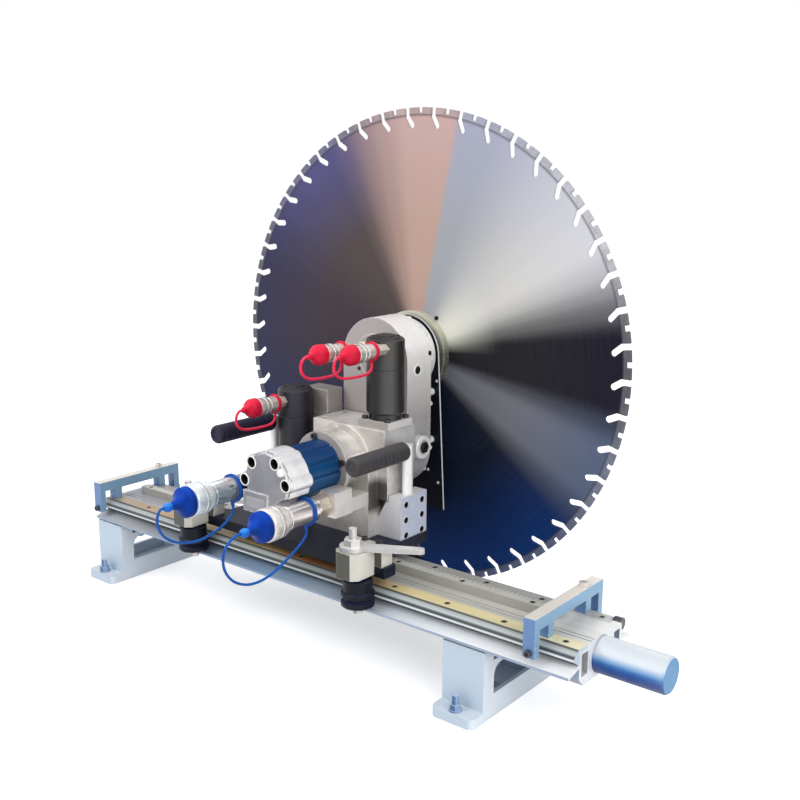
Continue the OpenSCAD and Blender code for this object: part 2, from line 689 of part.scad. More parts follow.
// Gearbox casting
module gearbox_housing() color("lightgray") difference() {
    union() {
        bar_y(pivot_x, pivot_z, barrel_r, 20, box_y1, 96);
        bar_y(pivot_x, pivot_z, nose_r, nose_y, 20 + eps, 96);
        ring_lugs();
        block([pivot_x - 63, 10, deck_z], [pivot_x + 65, box_y1, pivot_z]);
        block([pivot_x - 63, 22, pivot_z - eps], [worm_x + 27, box_y1, ledge_z]);
        block([worm_x - 26, worm_y - 26, pivot_z - 56], [worm_x + 26, worm_y + 26, ledge_z]);
        block([feed_x - 33, feed_y - 34, deck_z], [pivot_x - 63 + eps, box_y1, tower_z]);
        block([feed_x - 8, feed_y + feed_motor_r + 1, tower_z - eps],
            [pivot_x - arm_r, box_y1, tower_z + 126]);
        block([feed_x - 67, feed_y - 10, tower_z - 22], [feed_x - 33 + eps, feed_y + 16, tower_z]);
    }
    bar_y(pivot_x, pivot_z, hub_bearing_r, 24, 24 + bearing_w + eps);
    bar_y(pivot_x, pivot_z, wheel_r + 6.5, 24 + bearing_w, box_y1 - bearing_w);
    bar_y(pivot_x, pivot_z, hub_bearing_r, box_y1 - bearing_w - eps, box_y1 + 1);
    bar_y(pivot_x, pivot_z, shaft_r + 2, nose_y - 1, 25);
    bar_z(worm_x, worm_y, worm_r + 3, pivot_z - 30, pivot_z + 30);
    bar_z(worm_x, worm_y, worm_journal_r + run_fit, pivot_z - 46, ledge_z + 1);
    bar_z(feed_x, feed_y, feed_shaft_r + run_fit, deck_z - 1, tower_z + 1);
    block([pivot_x - 48, 24, deck_z - 1], [pivot_x + 50, 84, pivot_z - barrel_r - 6]);
    deck_screw_places() screw_hole(4, 26);
    ring_screw_places() screw_hole(3, 22);
    swing_screw_places() screw_hole(3, 26);
    feed_screw_places() screw_hole(3, 22);
    ledge_hole_places() bar_z(0, 0, 5, -8, 1);
    bar_z(left_post_x, left_post_y, 4.1, tower_z - 15, tower_z + 1);
}
module ledge_hole_places() for (p = [[pivot_x - 48, 34], [pivot_x - 48, 84], [pivot_x - 2, 84]])
    translate([p[0], p[1], ledge_z]) children();
left_post_x = feed_x - 53;
left_post_y = feed_y + 3;

module hub_bearings() color("slategray") for (y = [24, box_y1 - bearing_w]) difference() {
    bar_y(pivot_x, pivot_z, hub_bearing_r, y, y + bearing_w);
    bar_y(pivot_x, pivot_z, hub_r + run_fit, y - 1, y + bearing_w + 1);
}

// Flange between the barrel's nose and the main motor
ring_r = 54;
ring_screw_r = 47;
ring_lug_r = 7.5;
ring_screw_turn = 15;
lug_y1 = 22;
module ring_screw_places() for (a = [ring_screw_turn:90:360])
    translate([pivot_x + ring_screw_r * cos(a), motor_y1, pivot_z + ring_screw_r * sin(a)])
    rotate([90, 0, 0]) children();
module ring_lugs() ring_screw_places()
    translate([0, 0, motor_y1 - lug_y1]) cylinder(r = ring_lug_r, h = lug_y1 - nose_y);
module mounting_ring() color("silver") difference() {
    bar_y(pivot_x, pivot_z, ring_r, motor_y1, nose_y, 96);
    bar_y(pivot_x, pivot_z, shaft_r + 2, motor_y1 - 1, nose_y + 1);
    ring_screw_places() screw_hole(3, 22);
}

module motor_outline() difference() {
    circle(r = motor_r);
    for (a = [0:30:330]) rotate(a) translate([motor_r, 0]) circle(r = 2.6, $fn = 24);
}
module main_motor() color("steelblue") difference() {
    along_y(motor_y0, motor_y1) translate([pivot_x, pivot_z]) motor_outline();
    bar_y(pivot_x, pivot_z, shaft_r + run_fit, motor_y1 - 24, motor_y1 + 1);
}
cap_spots = [[2, 40], [59, 36], [140, 39], [185, 46]];
lobe_r = 12;
module cap_screw_places() for (p = cap_spots)
    translate([pivot_x + p[1] * cos(p[0]), cap_y + pocket_d, pivot_z + p[1] * sin(p[0])])
    rotate([90, 0, 0]) children();
cap_step = 5;
module cap_outline(less) translate([pivot_x, pivot_z]) {
    circle(r = cap_r - less);
    for (p = cap_spots) rotate(p[0]) {
        translate([p[1], 0]) circle(r = lobe_r - less / 3, $fn = 40);
        translate([0, less / 2 - 9]) square([p[1], 18 - less]);
    }
}
module motor_end_cap() color("silver") difference() {
    union() {
        along_y(cap_y + cap_step, motor_y0) cap_outline(0);
        along_y(cap_y, cap_y + cap_step + eps) cap_outline(3);
        block([pivot_x - cap_r - 2, cap_y - 2, pivot_z - cap_r - 6],
            [pivot_x + 4, motor_y0, pivot_z - 20]);
    }
    cap_screw_places() {
        screw_hole(3, 26);
        cylinder(r = pocket_r + 1.5, h = 30);
    }
    bar_y(right_port[0], right_port[2], main_barrel_r + 8, cap_y - 3, motor_y0 + 1);
}

// Port blocks of the main motor
module port_blocks() color("silver") {
    difference() {
        union() {
            block([right_port[0] - 20, right_port[1], right_port[2] - 18],
                [right_port[0] + 22, motor_y1, right_port[2] + 22]);
            block([right_port[0] - 20, motor_y1 - eps, right_port[2] - 16],
                [right_port[0] + 22, 10, right_port[2] + 6]);
        }
        bar_y(pivot_x, pivot_z, ring_r, motor_y1 - 0.5, nose_y + 0.5);
        bar_y(pivot_x, pivot_z, motor_r + 0.3, right_port[1] - 1, motor_y1);
    }
    difference() {
        block([left_port[0] - 18, left_port[1], left_port[2] - 15],
            [left_port[0] + 38, left_port[1] + 30, left_port[2] + 15]);
        bar_y(pivot_x, pivot_z, motor_r, left_port[1] - 1, left_port[1] + 31);
    }
}

// A main coupler lies along Y, with its mouth towards the motor side
module main_coupler(p, barrel) translate(p) {
    collar_y = -port_hex - barrel;
    nose = collar_y - main_collar;
    bar_y(0, 0, 17, -port_hex, 0, 6);
    bar_y(0, 0, main_barrel_r, collar_y, -port_hex + eps);
    difference() {
        bar_y(0, 0, main_collar_r, nose, collar_y + eps);
        bar_y(0, 0, plug_r + run_fit, nose - 1, nose + plug_len + 6);
    }
}
module main_couplers() color("silver") {
    main_coupler(right_port, right_barrel);
    main_coupler(left_port, left_barrel);
}

// Plug, disc, cone and knob of a main cap, and the ring that ties it to the barrel
module main_cap(p, barrel) translate(p) {
    nose = port_hex + barrel + main_collar;
    ring_y = ring_to_collar - port_hex - barrel;
    translate([0, -nose, 0]) rotate([90, 0, 0]) rotate_extrude() polygon([[0, -plug_len],
        [plug_r, -plug_len], [plug_r, 0.3], [23, 0.3], [23, 12], [17, 20], [6, 27], [5, 31],
        [6.5, 34], [6.5, 41], [4, 44], [0, 44]]);
    difference() {
        union() {
            bar_y(0, 0, main_barrel_r + 4, ring_y - 3, ring_y + 3);
            bar_z(0, ring_y, 3, -main_barrel_r - 9.5, -main_barrel_r - 2);
        }
        bar_y(0, 0, main_barrel_r + 0.3, ring_y - 5, ring_y + 5);
    }
}
module right_main_cap() color("royalblue") main_cap(right_port, right_barrel);
module left_main_cap() color("royalblue") main_cap(left_port, left_barrel);

module small_coupler(p, back, motor_x, motor_y, motor_r) difference() {
    translate(p) {
        bar_y(0, 0, 9, -1, back, 6);
        bar_y(0, 0, small_body_r, -small_len + small_collar - eps, 0);
        difference() {
            bar_y(0, 0, small_collar_r, -small_len, -small_len + small_collar);
            bar_y(0, 0, small_plug_r + run_fit, -small_len - 1, -small_len + small_plug_len + 4);
        }
    }
    bar_z(motor_x, motor_y, motor_r, p[2] - 30, p[2] + 30);
}
module small_couplers() color("silver") {
    small_coupler(front_swing_port, 30, worm_x, worm_y, swing_motor_r);
    small_coupler(rear_swing_port, 60, worm_x, worm_y, swing_motor_r);
    small_coupler(feed_port, 20, feed_x, feed_y, feed_motor_r);
}
module small_cap(p) translate(p) {
    rotate([90, 0, 0]) rotate_extrude() polygon([[0, small_len - small_plug_len],
        [small_plug_r, small_len - small_plug_len], [small_plug_r, small_len + 0.3],
        [15.5, small_len + 0.3], [15.5, small_len + 12], [10, small_len + 19],
        [5, small_len + 22], [5, small_len + 29], [0, small_len + 29]]);
    difference() {
        union() {
            bar_y(0, 0, small_body_r + 3, small_ring_y - 2.5, small_ring_y + 2.5);
            bar_z(0, small_ring_y, 2.2, -small_body_r - 6, -small_body_r - 1);
        }
        bar_y(0, 0, small_body_r + 0.3, small_ring_y - 5, small_ring_y + 5);
    }
}
module front_swing_cap() color("crimson") small_cap(front_swing_port);
module rear_swing_cap() color("crimson") small_cap(rear_swing_port);
module feed_cap() color("crimson") small_cap(feed_port);
module right_main_lanyard() color("royalblue") cord(right_route, main_cord_d);
module left_main_lanyard() color("royalblue") cord(left_route, main_cord_d);
module front_swing_lanyard() color("crimson") cord(front_swing_route, small_cord_d);
module rear_swing_lanyard() color("crimson") cord(rear_swing_route, small_cord_d);
module feed_lanyard() color("crimson") cord(feed_route, small_cord_d);

module swing_screw_places() for (s = [-1, 1], t = [-1, 1])
    translate([worm_x + s * 22.5, worm_y + t * 22.5, swing_motor_z]) children();
module feed_screw_places() for (s = [-1, 1], t = [-1, 1])
    translate([feed_x + s * 25, feed_y + t * 25, feed_motor_z]) children();
module motor_flanges() color("gainsboro") difference() {
    union() {
        block([worm_x - 30, worm_y - 30, ledge_z], [worm_x + 30, worm_y + 30, swing_motor_z]);
        block([feed_x - 32, feed_y - 31, tower_z], [feed_x + 32, feed_y + 29, feed_motor_z]);
    }
    bar_z(worm_x, worm_y, worm_journal_r + 0.3, ledge_z - 1, swing_motor_z + 1);
    bar_z(feed_x, feed_y, feed_shaft_r + 0.3, tower_z - 1, feed_motor_z + 1);
    swing_screw_places() screw_hole(3, 26);
    feed_screw_places() screw_hole(3, 22);
}
// The motor cans are cut back at their feet for the flange screws
module motor_can(x, y, z, r, h, bore) difference() {
    translate([x, y, z]) rotate_extrude() polygon([[0, 0], [r - 4, 0], [r - 4, 8], [r, 12],
        [r, h * 0.62], [r - 0.8, h * 0.62], [r - 0.8, h * 0.62 + 1.5], [r, h * 0.62 + 1.5],
        [r, h - 3], [r - 3, h], [0, h]]);
    bar_z(x, y, bore + run_fit, z - 1, z + 26);
}
module swing_motor() color("dimgray")
    motor_can(worm_x, worm_y, swing_motor_z, swing_motor_r, swing_motor_h, worm_journal_r);
module feed_motor() color("dimgray")
    motor_can(feed_x, feed_y, feed_motor_z, feed_motor_r, feed_motor_h, 6);

// Bracket with the machined face for accessories, and the post of the right grip
bracket_hole_dy = 40;
bracket_hole_dz = 25;
bracket_hole_y = 65.5;
bracket_hole_z = bracket_z1 - 38;
right_post_x = bracket_x1 - 10;
right_post_y = 61;
right_grip_z = deck_z + right_grip_rise;
left_grip_z = tower_z + left_grip_rise;
post_arm = 70;
post_tip = 9;
module bracket_holes() for (s = [-1, 1], t = [-1:1])
    translate([bracket_x1, bracket_hole_y + s * bracket_hole_dy / 2, bracket_hole_z + t * bracket_hole_dz])
    rotate([0, 90, 0]) translate([0, 0, -16]) cylinder(r = 4.25, h = 17);
module side_bracket() color("lightgray") difference() {
    along_y(33, box_y1) polygon([[bracket_x0, deck_z], [bracket_x1, deck_z], [bracket_x1, bracket_z1],
        [bracket_x1 - 24, bracket_z1], [bracket_x0, deck_z + 30]]);
    bracket_holes();
    deck_screw_places() screw_hole(4, 26);
    bar_z(right_post_x, right_post_y, 4.1, bracket_z1 - 15, bracket_z1 + 1);
    block([worm_x - 27, worm_y - 27, pivot_z - 57], [worm_x + 27, worm_y + 27, ledge_z]);
}
module handle_post(x, y, z0, z1, zg) {
    bar_z(x, y, post_r, z0, z1);
    bar_z(x, y, 4, z0 - 14, z0 + 1);
    bar_y(x, zg, post_r - 1, y - post_arm, y);
}
module handle_posts() color("gainsboro") {
    handle_post(right_post_x, right_post_y, bracket_z1, right_grip_z + post_tip, right_grip_z);
    handle_post(left_post_x, left_post_y, tower_z, left_grip_z + post_tip, left_grip_z);
}
module grip(x, y, z) difference() {
    translate([x, y - post_r - 1, z]) rotate([90, 0, 0]) rotate_extrude() polygon([[0, 0],
        [grip_r - 2, 0], [grip_r, 2], [grip_r, grip_len - 4], [grip_r - 4, grip_len], [0, grip_len]]);
    bar_y(x, z, post_r - 1, y - post_arm, y);
}
module right_grip() color("black") grip(right_post_x, right_post_y, right_grip_z);
module left_grip() color("black") grip(left_post_x, left_post_y, left_grip_z);

module carriage_screws() color("gray") {
    deck_screw_places() cap_screw(4, 24);
    ring_screw_places() cap_screw(3, 20);
    cap_screw_places() cap_screw(3, 24);
    swing_screw_places() cap_screw(3, 24);
    feed_screw_places() cap_screw(3, 20);
    block_screw_places() cap_screw(3, 39);
    for (x = rear_xs) {
        bar_z(x, rear_y, rear_pin_r, roller_z - 1, deck_z - 4.5);
        bar_z(x, rear_y, 8, roller_z - 4, roller_z - 0.3);
        bar_z(x, rear_y, 8, roller_z + roller_h + 0.3, plate_z);
    }
}

module feed_pinion() color("slategray") translate([feed_x, feed_y, 0]) {
    along_z(top_z + 1.5, top_z + rack_h) rotate(-90) gear_outline(pinion_teeth, rack_m, 0.3, 0);
    bar_z(0, 0, 13, top_z + rack_h - eps, plate_z - 0.3);
    bar_z(0, 0, feed_shaft_r, top_z + rack_h - eps, feed_motor_z - 0.5);
    bar_z(0, 0, 6, feed_motor_z - 1, feed_motor_z + 24);
}

// Worm with a round thread, and the wheel whose waves follow it
worm_pitch = 2 * PI * wheel_r / wheel_teeth;
worm_turns = 6;
module swing_worm() color("slategray") translate([worm_x, worm_y, 0]) {
    translate([0, 0, pivot_z - worm_turns * worm_pitch / 2])
        linear_extrude(worm_turns * worm_pitch, twist = -360 * worm_turns, slices = 10 * worm_turns)
        rotate(180 * worm_turns + 180) translate([thread_a, 0]) circle(r = worm_r - worm_play, $fn = 20);
    bar_z(0, 0, worm_journal_r, pivot_z - 45, pivot_z - worm_turns * worm_pitch / 2 + eps);
    bar_z(0, 0, worm_journal_r, pivot_z + worm_turns * worm_pitch / 2 - eps, swing_motor_z + 24);
}
module worm_wheel() color("darkgoldenrod") difference() {
    along_y(worm_y - wheel_w / 2, worm_y + wheel_w / 2) translate([pivot_x, pivot_z])
        polygon([for (k = [0:wheel_teeth * 8 - 1]) let (a = 360 * k / (wheel_teeth * 8))
            polar(wheel_r - thread_a * cos(a * wheel_teeth), a)]);
    bar_y(pivot_x, pivot_z, hub_r, worm_y - wheel_w, worm_y + wheel_w);
}

module stadium(r) {
    translate([pivot_x, pivot_z]) circle(r = r, $fn = 96);
    translate([pivot_x, spin_z]) circle(r = r, $fn = 96);
    translate([pivot_x - r, pivot_z]) square([2 * r, arm_len]);
}
arm_screw_r = arm_r - arm_wall / 2;
side_boss_r = 18;
side_boss_h = 12;
module arm_screw_places() {
    for (a = [0:36:180]) translate([pivot_x + arm_screw_r * cos(a), cover_y, spin_z + arm_screw_r * sin(a)])
        rotate([-90, 0, 0]) children();
    for (a = [180:36:360]) translate([pivot_x + arm_screw_r * cos(a), cover_y, pivot_z + arm_screw_r * sin(a)])
        rotate([-90, 0, 0]) children();
    for (s = [-1, 1]) translate([pivot_x + s * arm_screw_r, cover_y, (pivot_z + spin_z) / 2])
        rotate([-90, 0, 0]) children();
}
module arm_housing() color("silver") difference() {
    union() {
        difference() {
            along_y(arm_y0, arm_y1) stadium(arm_r);
            along_y(arm_y0 + front_wall, arm_y1 + 1) stadium(arm_r - arm_wall);
        }
        bar_y(pivot_x, pivot_z, hub_r, 26, arm_y0 + eps);
        bar_y(pivot_x, spin_z, front_bearing_r + 8, arm_y0, gear_y0 - 1);
        translate([0, arm_y0 + arm_depth / 2 + 1, pivot_z + 10])
            bar_x(side_boss_r, pivot_x + arm_r - 6, pivot_x + arm_r + side_boss_h);
    }
    bar_y(pivot_x, pivot_z, shaft_r + run_fit, 25, arm_y0 + front_wall + 1);
    bar_y(pivot_x, spin_z, front_bearing_r, arm_y0 + 4, gear_y0);
    bar_y(pivot_x, idler_z, idler_pin_r, arm_y0 + 3, arm_y0 + front_wall + 1);
    arm_screw_places() screw_hole(2.5, 16);
}
module arm_cover() color("silver") difference() {
    union() {
        along_y(arm_y1, cover_y) stadium(arm_r);
        bar_y(pivot_x, spin_z, boss_r, cover_y - eps, cover_y + boss_len);
        bar_y(pivot_x, pivot_z, 22, gear_y0 + gear_w + 1.5, arm_y1 + eps);
    }
    bar_y(pivot_x, spin_z, rear_bearing_r, arm_y1 - 1, cover_y + boss_len - 4);
    bar_y(pivot_x, spin_z, spindle_r + 1, arm_y1, cover_y + boss_len + 1);
    bar_y(pivot_x, pivot_z, shaft_r + run_fit, gear_y0 + gear_w, cover_y - 2);
    bar_y(pivot_x, idler_z, idler_pin_r, arm_y1 - 1, cover_y - 2);
    arm_screw_places() screw_hole(2.5, 16);
}
module arm_screws() color("gray") arm_screw_places() cap_screw(2.5, 14);
module idler_pin() color("gray") bar_y(pivot_x, idler_z, idler_pin_r, arm_y0 + 3.2, cover_y - 2.2);
module spindle_bearings() color("slategray") {
    ball_ring(front_bearing_r, spindle_nose_r, arm_y0 + 5, gear_y0 - 1);
    ball_ring(rear_bearing_r, spindle_r, arm_y1 + 2, cover_y + boss_len - 4);
}
module ball_ring(r1, r0, y0, y1) difference() {
    bar_y(pivot_x, spin_z, r1, y0, y1);
    bar_y(pivot_x, spin_z, r0 + run_fit, y0 - 1, y1 + 1);
}

// Shield plate behind the blade, on four stand-offs
guard_half_top = 64;
guard_half_low = 79;
guard_low_z = pivot_z - 112;
module guard_spots() for (s = [-1, 1], z = [pivot_z + 8, pivot_z + 90])
    translate([pivot_x + s * 52, 0, z]) children();
module guard_plate() color("whitesmoke") {
    along_y(guard_y, guard_y + guard_t) difference() {
        union() {
            translate([pivot_x, spin_z]) circle(r = guard_half_top, $fn = 96);
            polygon([[pivot_x - guard_half_top, spin_z], [pivot_x + guard_half_top, spin_z],
                [pivot_x + guard_half_low, guard_low_z], [pivot_x - guard_half_low, guard_low_z]]);
        }
        translate([pivot_x, spin_z]) circle(r = spindle_r + 4);
    }
    guard_spots() bar_y(0, 0, 6, cover_y, guard_y + eps);
}

// Gear train in the arm
module bar_gear(at_z, teeth, phase) along_y(gear_y0, gear_y0 + gear_w)
    translate([pivot_x, at_z]) gear_outline(teeth, gear_m, 0.25, phase);
module drive_gear() color("slategray") {
    bar_gear(pivot_z, drive_teeth, 0);
    bar_y(pivot_x, pivot_z, shaft_r, motor_y1 - 22, cover_y - 2.5);
}
module idler_gear() color("slategray") difference() {
    bar_gear(idler_z, idler_teeth, 270 + 180 / idler_teeth);
    bar_y(pivot_x, idler_z, idler_pin_r + run_fit, gear_y0 - 1, gear_y0 + gear_w + 1);
}
module spindle() color("slategray") difference() {
    union() {
        bar_y(pivot_x, spin_z, spindle_nose_r, arm_y0 + 6, gear_y0 + eps);
        bar_gear(spin_z, drive_teeth, 0);
        bar_y(pivot_x, spin_z, spindle_r, gear_y0 + gear_w - eps, core_y0 - 5);
    }
    bar_y(pivot_x, spin_z, 8, core_y0 - 35, core_y0);
}

// Blade core with a leaning slot under each gap between segments
module slot_outline(r0) {
    translate([r0, -slot_w / 2]) square([blade_r + 1 - r0, slot_w]);
}
function slot_end() = [blade_r - slot_depth, -slot_lean];
module lean_outline() {
    a = [blade_r - slot_bend, 0];
    d = unit(slot_end() - a);
    n = [-d[1], d[0]] * slot_w / 2;
    polygon([a + n, a - n, slot_end() - n, slot_end() + n]);
    translate(slot_end()) circle(d = slot_w, $fn = 24);
    translate(a) circle(d = slot_w, $fn = 24);
}
module each_slot() for (k = [0:seg_count - 1]) rotate(slot_angle + 360 * k / seg_count) children();
module blade_core() color("lightsteelblue") along_y(core_y0, core_y1)
    translate([pivot_x, spin_z]) difference() {
        circle(r = blade_r - seg_h, $fn = 180);
        circle(r = blade_bore_r);
        each_slot() {
            slot_outline(blade_r - slot_bend);
            lean_outline();
        }
    }
module blade_segments() color("slategray") along_y(blade_y - seg_t / 2, blade_y + seg_t / 2)
    translate([pivot_x, spin_z]) difference() {
        circle(r = blade_r, $fn = 180);
        circle(r = blade_r - seg_h, $fn = 180);
        each_slot() slot_outline(blade_r - seg_h - 2);
        rotate(180 / seg_count) each_slot() translate([blade_r, 0]) square([16, 9], center = true);
    }

module flange_screw_places() for (a = [0:60:300])
    translate([pivot_x + 21 * cos(a), core_y1 + outer_flange_t, spin_z + 21 * sin(a)])
    rotate([-90, 0, 0]) children();
module inner_flange() color("silver") difference() {
    union() {
        bar_y(pivot_x, spin_z, flange_r, core_y0 - inner_flange_t, core_y0, 96);
        bar_y(pivot_x, spin_z, blade_bore_r, core_y0 - eps, core_y1);
    }
    bar_y(pivot_x, spin_z, spindle_r, core_y0 - inner_flange_t - 1, core_y0 - 5);
    bar_y(pivot_x, spin_z, 8.1, core_y0 - 20, core_y1 + 1);
    flange_screw_places() screw_hole(3, 20);
}
module outer_flange() color("silver") difference() {
    bar_y(pivot_x, spin_z, flange_r, core_y1, core_y1 + outer_flange_t, 96);
    bar_y(pivot_x, spin_z, 8.1, core_y1 - 1, core_y1 + outer_flange_t + 1);
    flange_screw_places() screw_hole(3, 20);
}
module flange_screws() color("gray") {
    flange_screw_places() cap_screw(3, 19);
    bar_y(pivot_x, spin_z, 13, core_y1 + outer_flange_t, core_y1 + outer_flange_t + 10, 6);
    bar_y(pivot_x, spin_z, 8, core_y0 - 34, core_y1 + outer_flange_t + eps);
}

rail_beam();
wear_strips();
gear_rack();
rail_screws();
joining_tube();
left_foot();
right_foot();
foot_bolts();
end_stops();
carriage_base();
roller_blocks();
gearbox_housing();
mounting_ring();
carriage_screws();
side_bracket();
swing_motor();
feed_motor();
motor_flanges();
main_motor();
motor_end_cap();
port_blocks();
handle_posts();
right_grip();
left_grip();
hub_bearings();
main_couplers();
small_couplers();
feed_pinion();
front_left_roller();
front_right_roller();
rear_left_roller();
rear_right_roller();
left_lock_lever();
right_lock_lever();
swing_worm();
arm_housing();
arm_cover();
arm_screws();
worm_wheel();
guard_plate();
idler_pin();
spindle_bearings();
drive_gear();
idler_gear();
spindle();
blade_core();
blade_segments();
inner_flange();
outer_flange();
flange_screws();
right_main_cap();
left_main_cap();
front_swing_cap();
rear_swing_cap();
feed_cap();
right_main_lanyard();
left_main_lanyard();
front_swing_lanyard();
rear_swing_lanyard();
feed_lanyard();
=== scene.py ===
import math

import bmesh
import bpy
from mathutils import Matrix, Vector


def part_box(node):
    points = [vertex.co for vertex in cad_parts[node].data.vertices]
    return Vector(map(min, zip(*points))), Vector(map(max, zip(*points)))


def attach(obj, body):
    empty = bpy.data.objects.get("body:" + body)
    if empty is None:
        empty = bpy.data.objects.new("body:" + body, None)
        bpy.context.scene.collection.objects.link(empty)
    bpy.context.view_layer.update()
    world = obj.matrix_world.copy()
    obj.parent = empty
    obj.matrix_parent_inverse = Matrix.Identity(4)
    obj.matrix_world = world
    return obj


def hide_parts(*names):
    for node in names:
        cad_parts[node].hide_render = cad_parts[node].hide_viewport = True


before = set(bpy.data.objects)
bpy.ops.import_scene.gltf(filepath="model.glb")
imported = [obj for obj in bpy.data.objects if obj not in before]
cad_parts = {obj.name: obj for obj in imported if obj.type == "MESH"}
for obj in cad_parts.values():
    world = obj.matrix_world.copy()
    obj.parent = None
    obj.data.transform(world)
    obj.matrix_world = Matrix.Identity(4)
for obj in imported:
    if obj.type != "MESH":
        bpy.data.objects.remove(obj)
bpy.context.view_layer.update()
scene = bpy.context.scene
MM = 0.001

# Places on the CAD model at rest, in millimetres
PIVOT_X, PIVOT_Z, SPIN_Z = 85.0, 292.0, 442.0
BLADE_FRONT_Y, ARM_FRONT_Y, ARM_R = 209.8, 102.0, 68.0
RIGHT_PORT, RIGHT_BARREL = (128.0, -66.0, 246.0), 66.0
LEFT_PORT, LEFT_BARREL = (10.0, -85.0, 268.0), 85.0
SWING_MOTOR, SWING_MOTOR_TOP = (145.0, 57.0), 490.0
FEED_MOTOR, FEED_MOTOR_TOP = (-27.0, 32.0), 392.0
FRONT_SWING_PORT = (160.0, 14.0, 476.0)
REAR_SWING_PORT = (122.0, -12.0, 476.0)
FEED_PORT = (-27.0, -8.0, 373.0)
CAP_FRONT_Y, GUARD_FRONT_Y, BRACKET_HOLE_Y = -146.0, 188.0, 65.5
CAP_POCKETS = ((2, 40), (59, 36), (140, 39), (185, 46))  # angle and distance from the motor's axis
# In metres: the beam's ends, where its wings start, and where the blade's tone changes outwards
RAIL_X0, RAIL_X1, WING_Y0, WING_Y1 = -0.434, 0.566, 0.0578, 0.0584
BLADE_SHADE_R0, BLADE_SHADE_R1 = 0.22, 0.37

# ---- camera


def make_camera():
    """The camera stands where the photograph was taken from."""
    yaw, pitch, roll = 0.677416, 0.216255, 0.005553
    back = Vector((math.sin(yaw) * math.cos(pitch), -math.cos(yaw) * math.cos(pitch), math.sin(pitch)))
    right = Vector((math.cos(yaw), math.sin(yaw), 0.0))
    up = back.cross(right)
    tilted_right = right * math.cos(roll) + up * math.sin(roll)
    tilted_up = up * math.cos(roll) - right * math.sin(roll)
    data = bpy.data.cameras.new("camera")
    data.lens = 46.53
    data.sensor_width = 36.0
    data.clip_end = 60.0
    camera = bpy.data.objects.new("camera", data)
    scene.collection.objects.link(camera)
    pose = Matrix((tilted_right, tilted_up, back)).transposed().to_4x4()
    pose.translation = Vector((1.154, -1.161, 0.738))
    camera.matrix_world = pose
    scene.camera = camera


make_camera()

# ---- materials


def colour(code):
    """Linear colour of a six digit sRGB code."""
    parts = [int(code[i:i + 2], 16) / 255.0 for i in (0, 2, 4)]
    linear = [c / 12.92 if c <= 0.04045 else ((c + 0.055) / 1.055) ** 2.4 for c in parts]
    return (*linear, 1.0)


NOISE_LOW, NOISE_HIGH = 0.3, 0.7  # nearly all of a noise texture lies between these


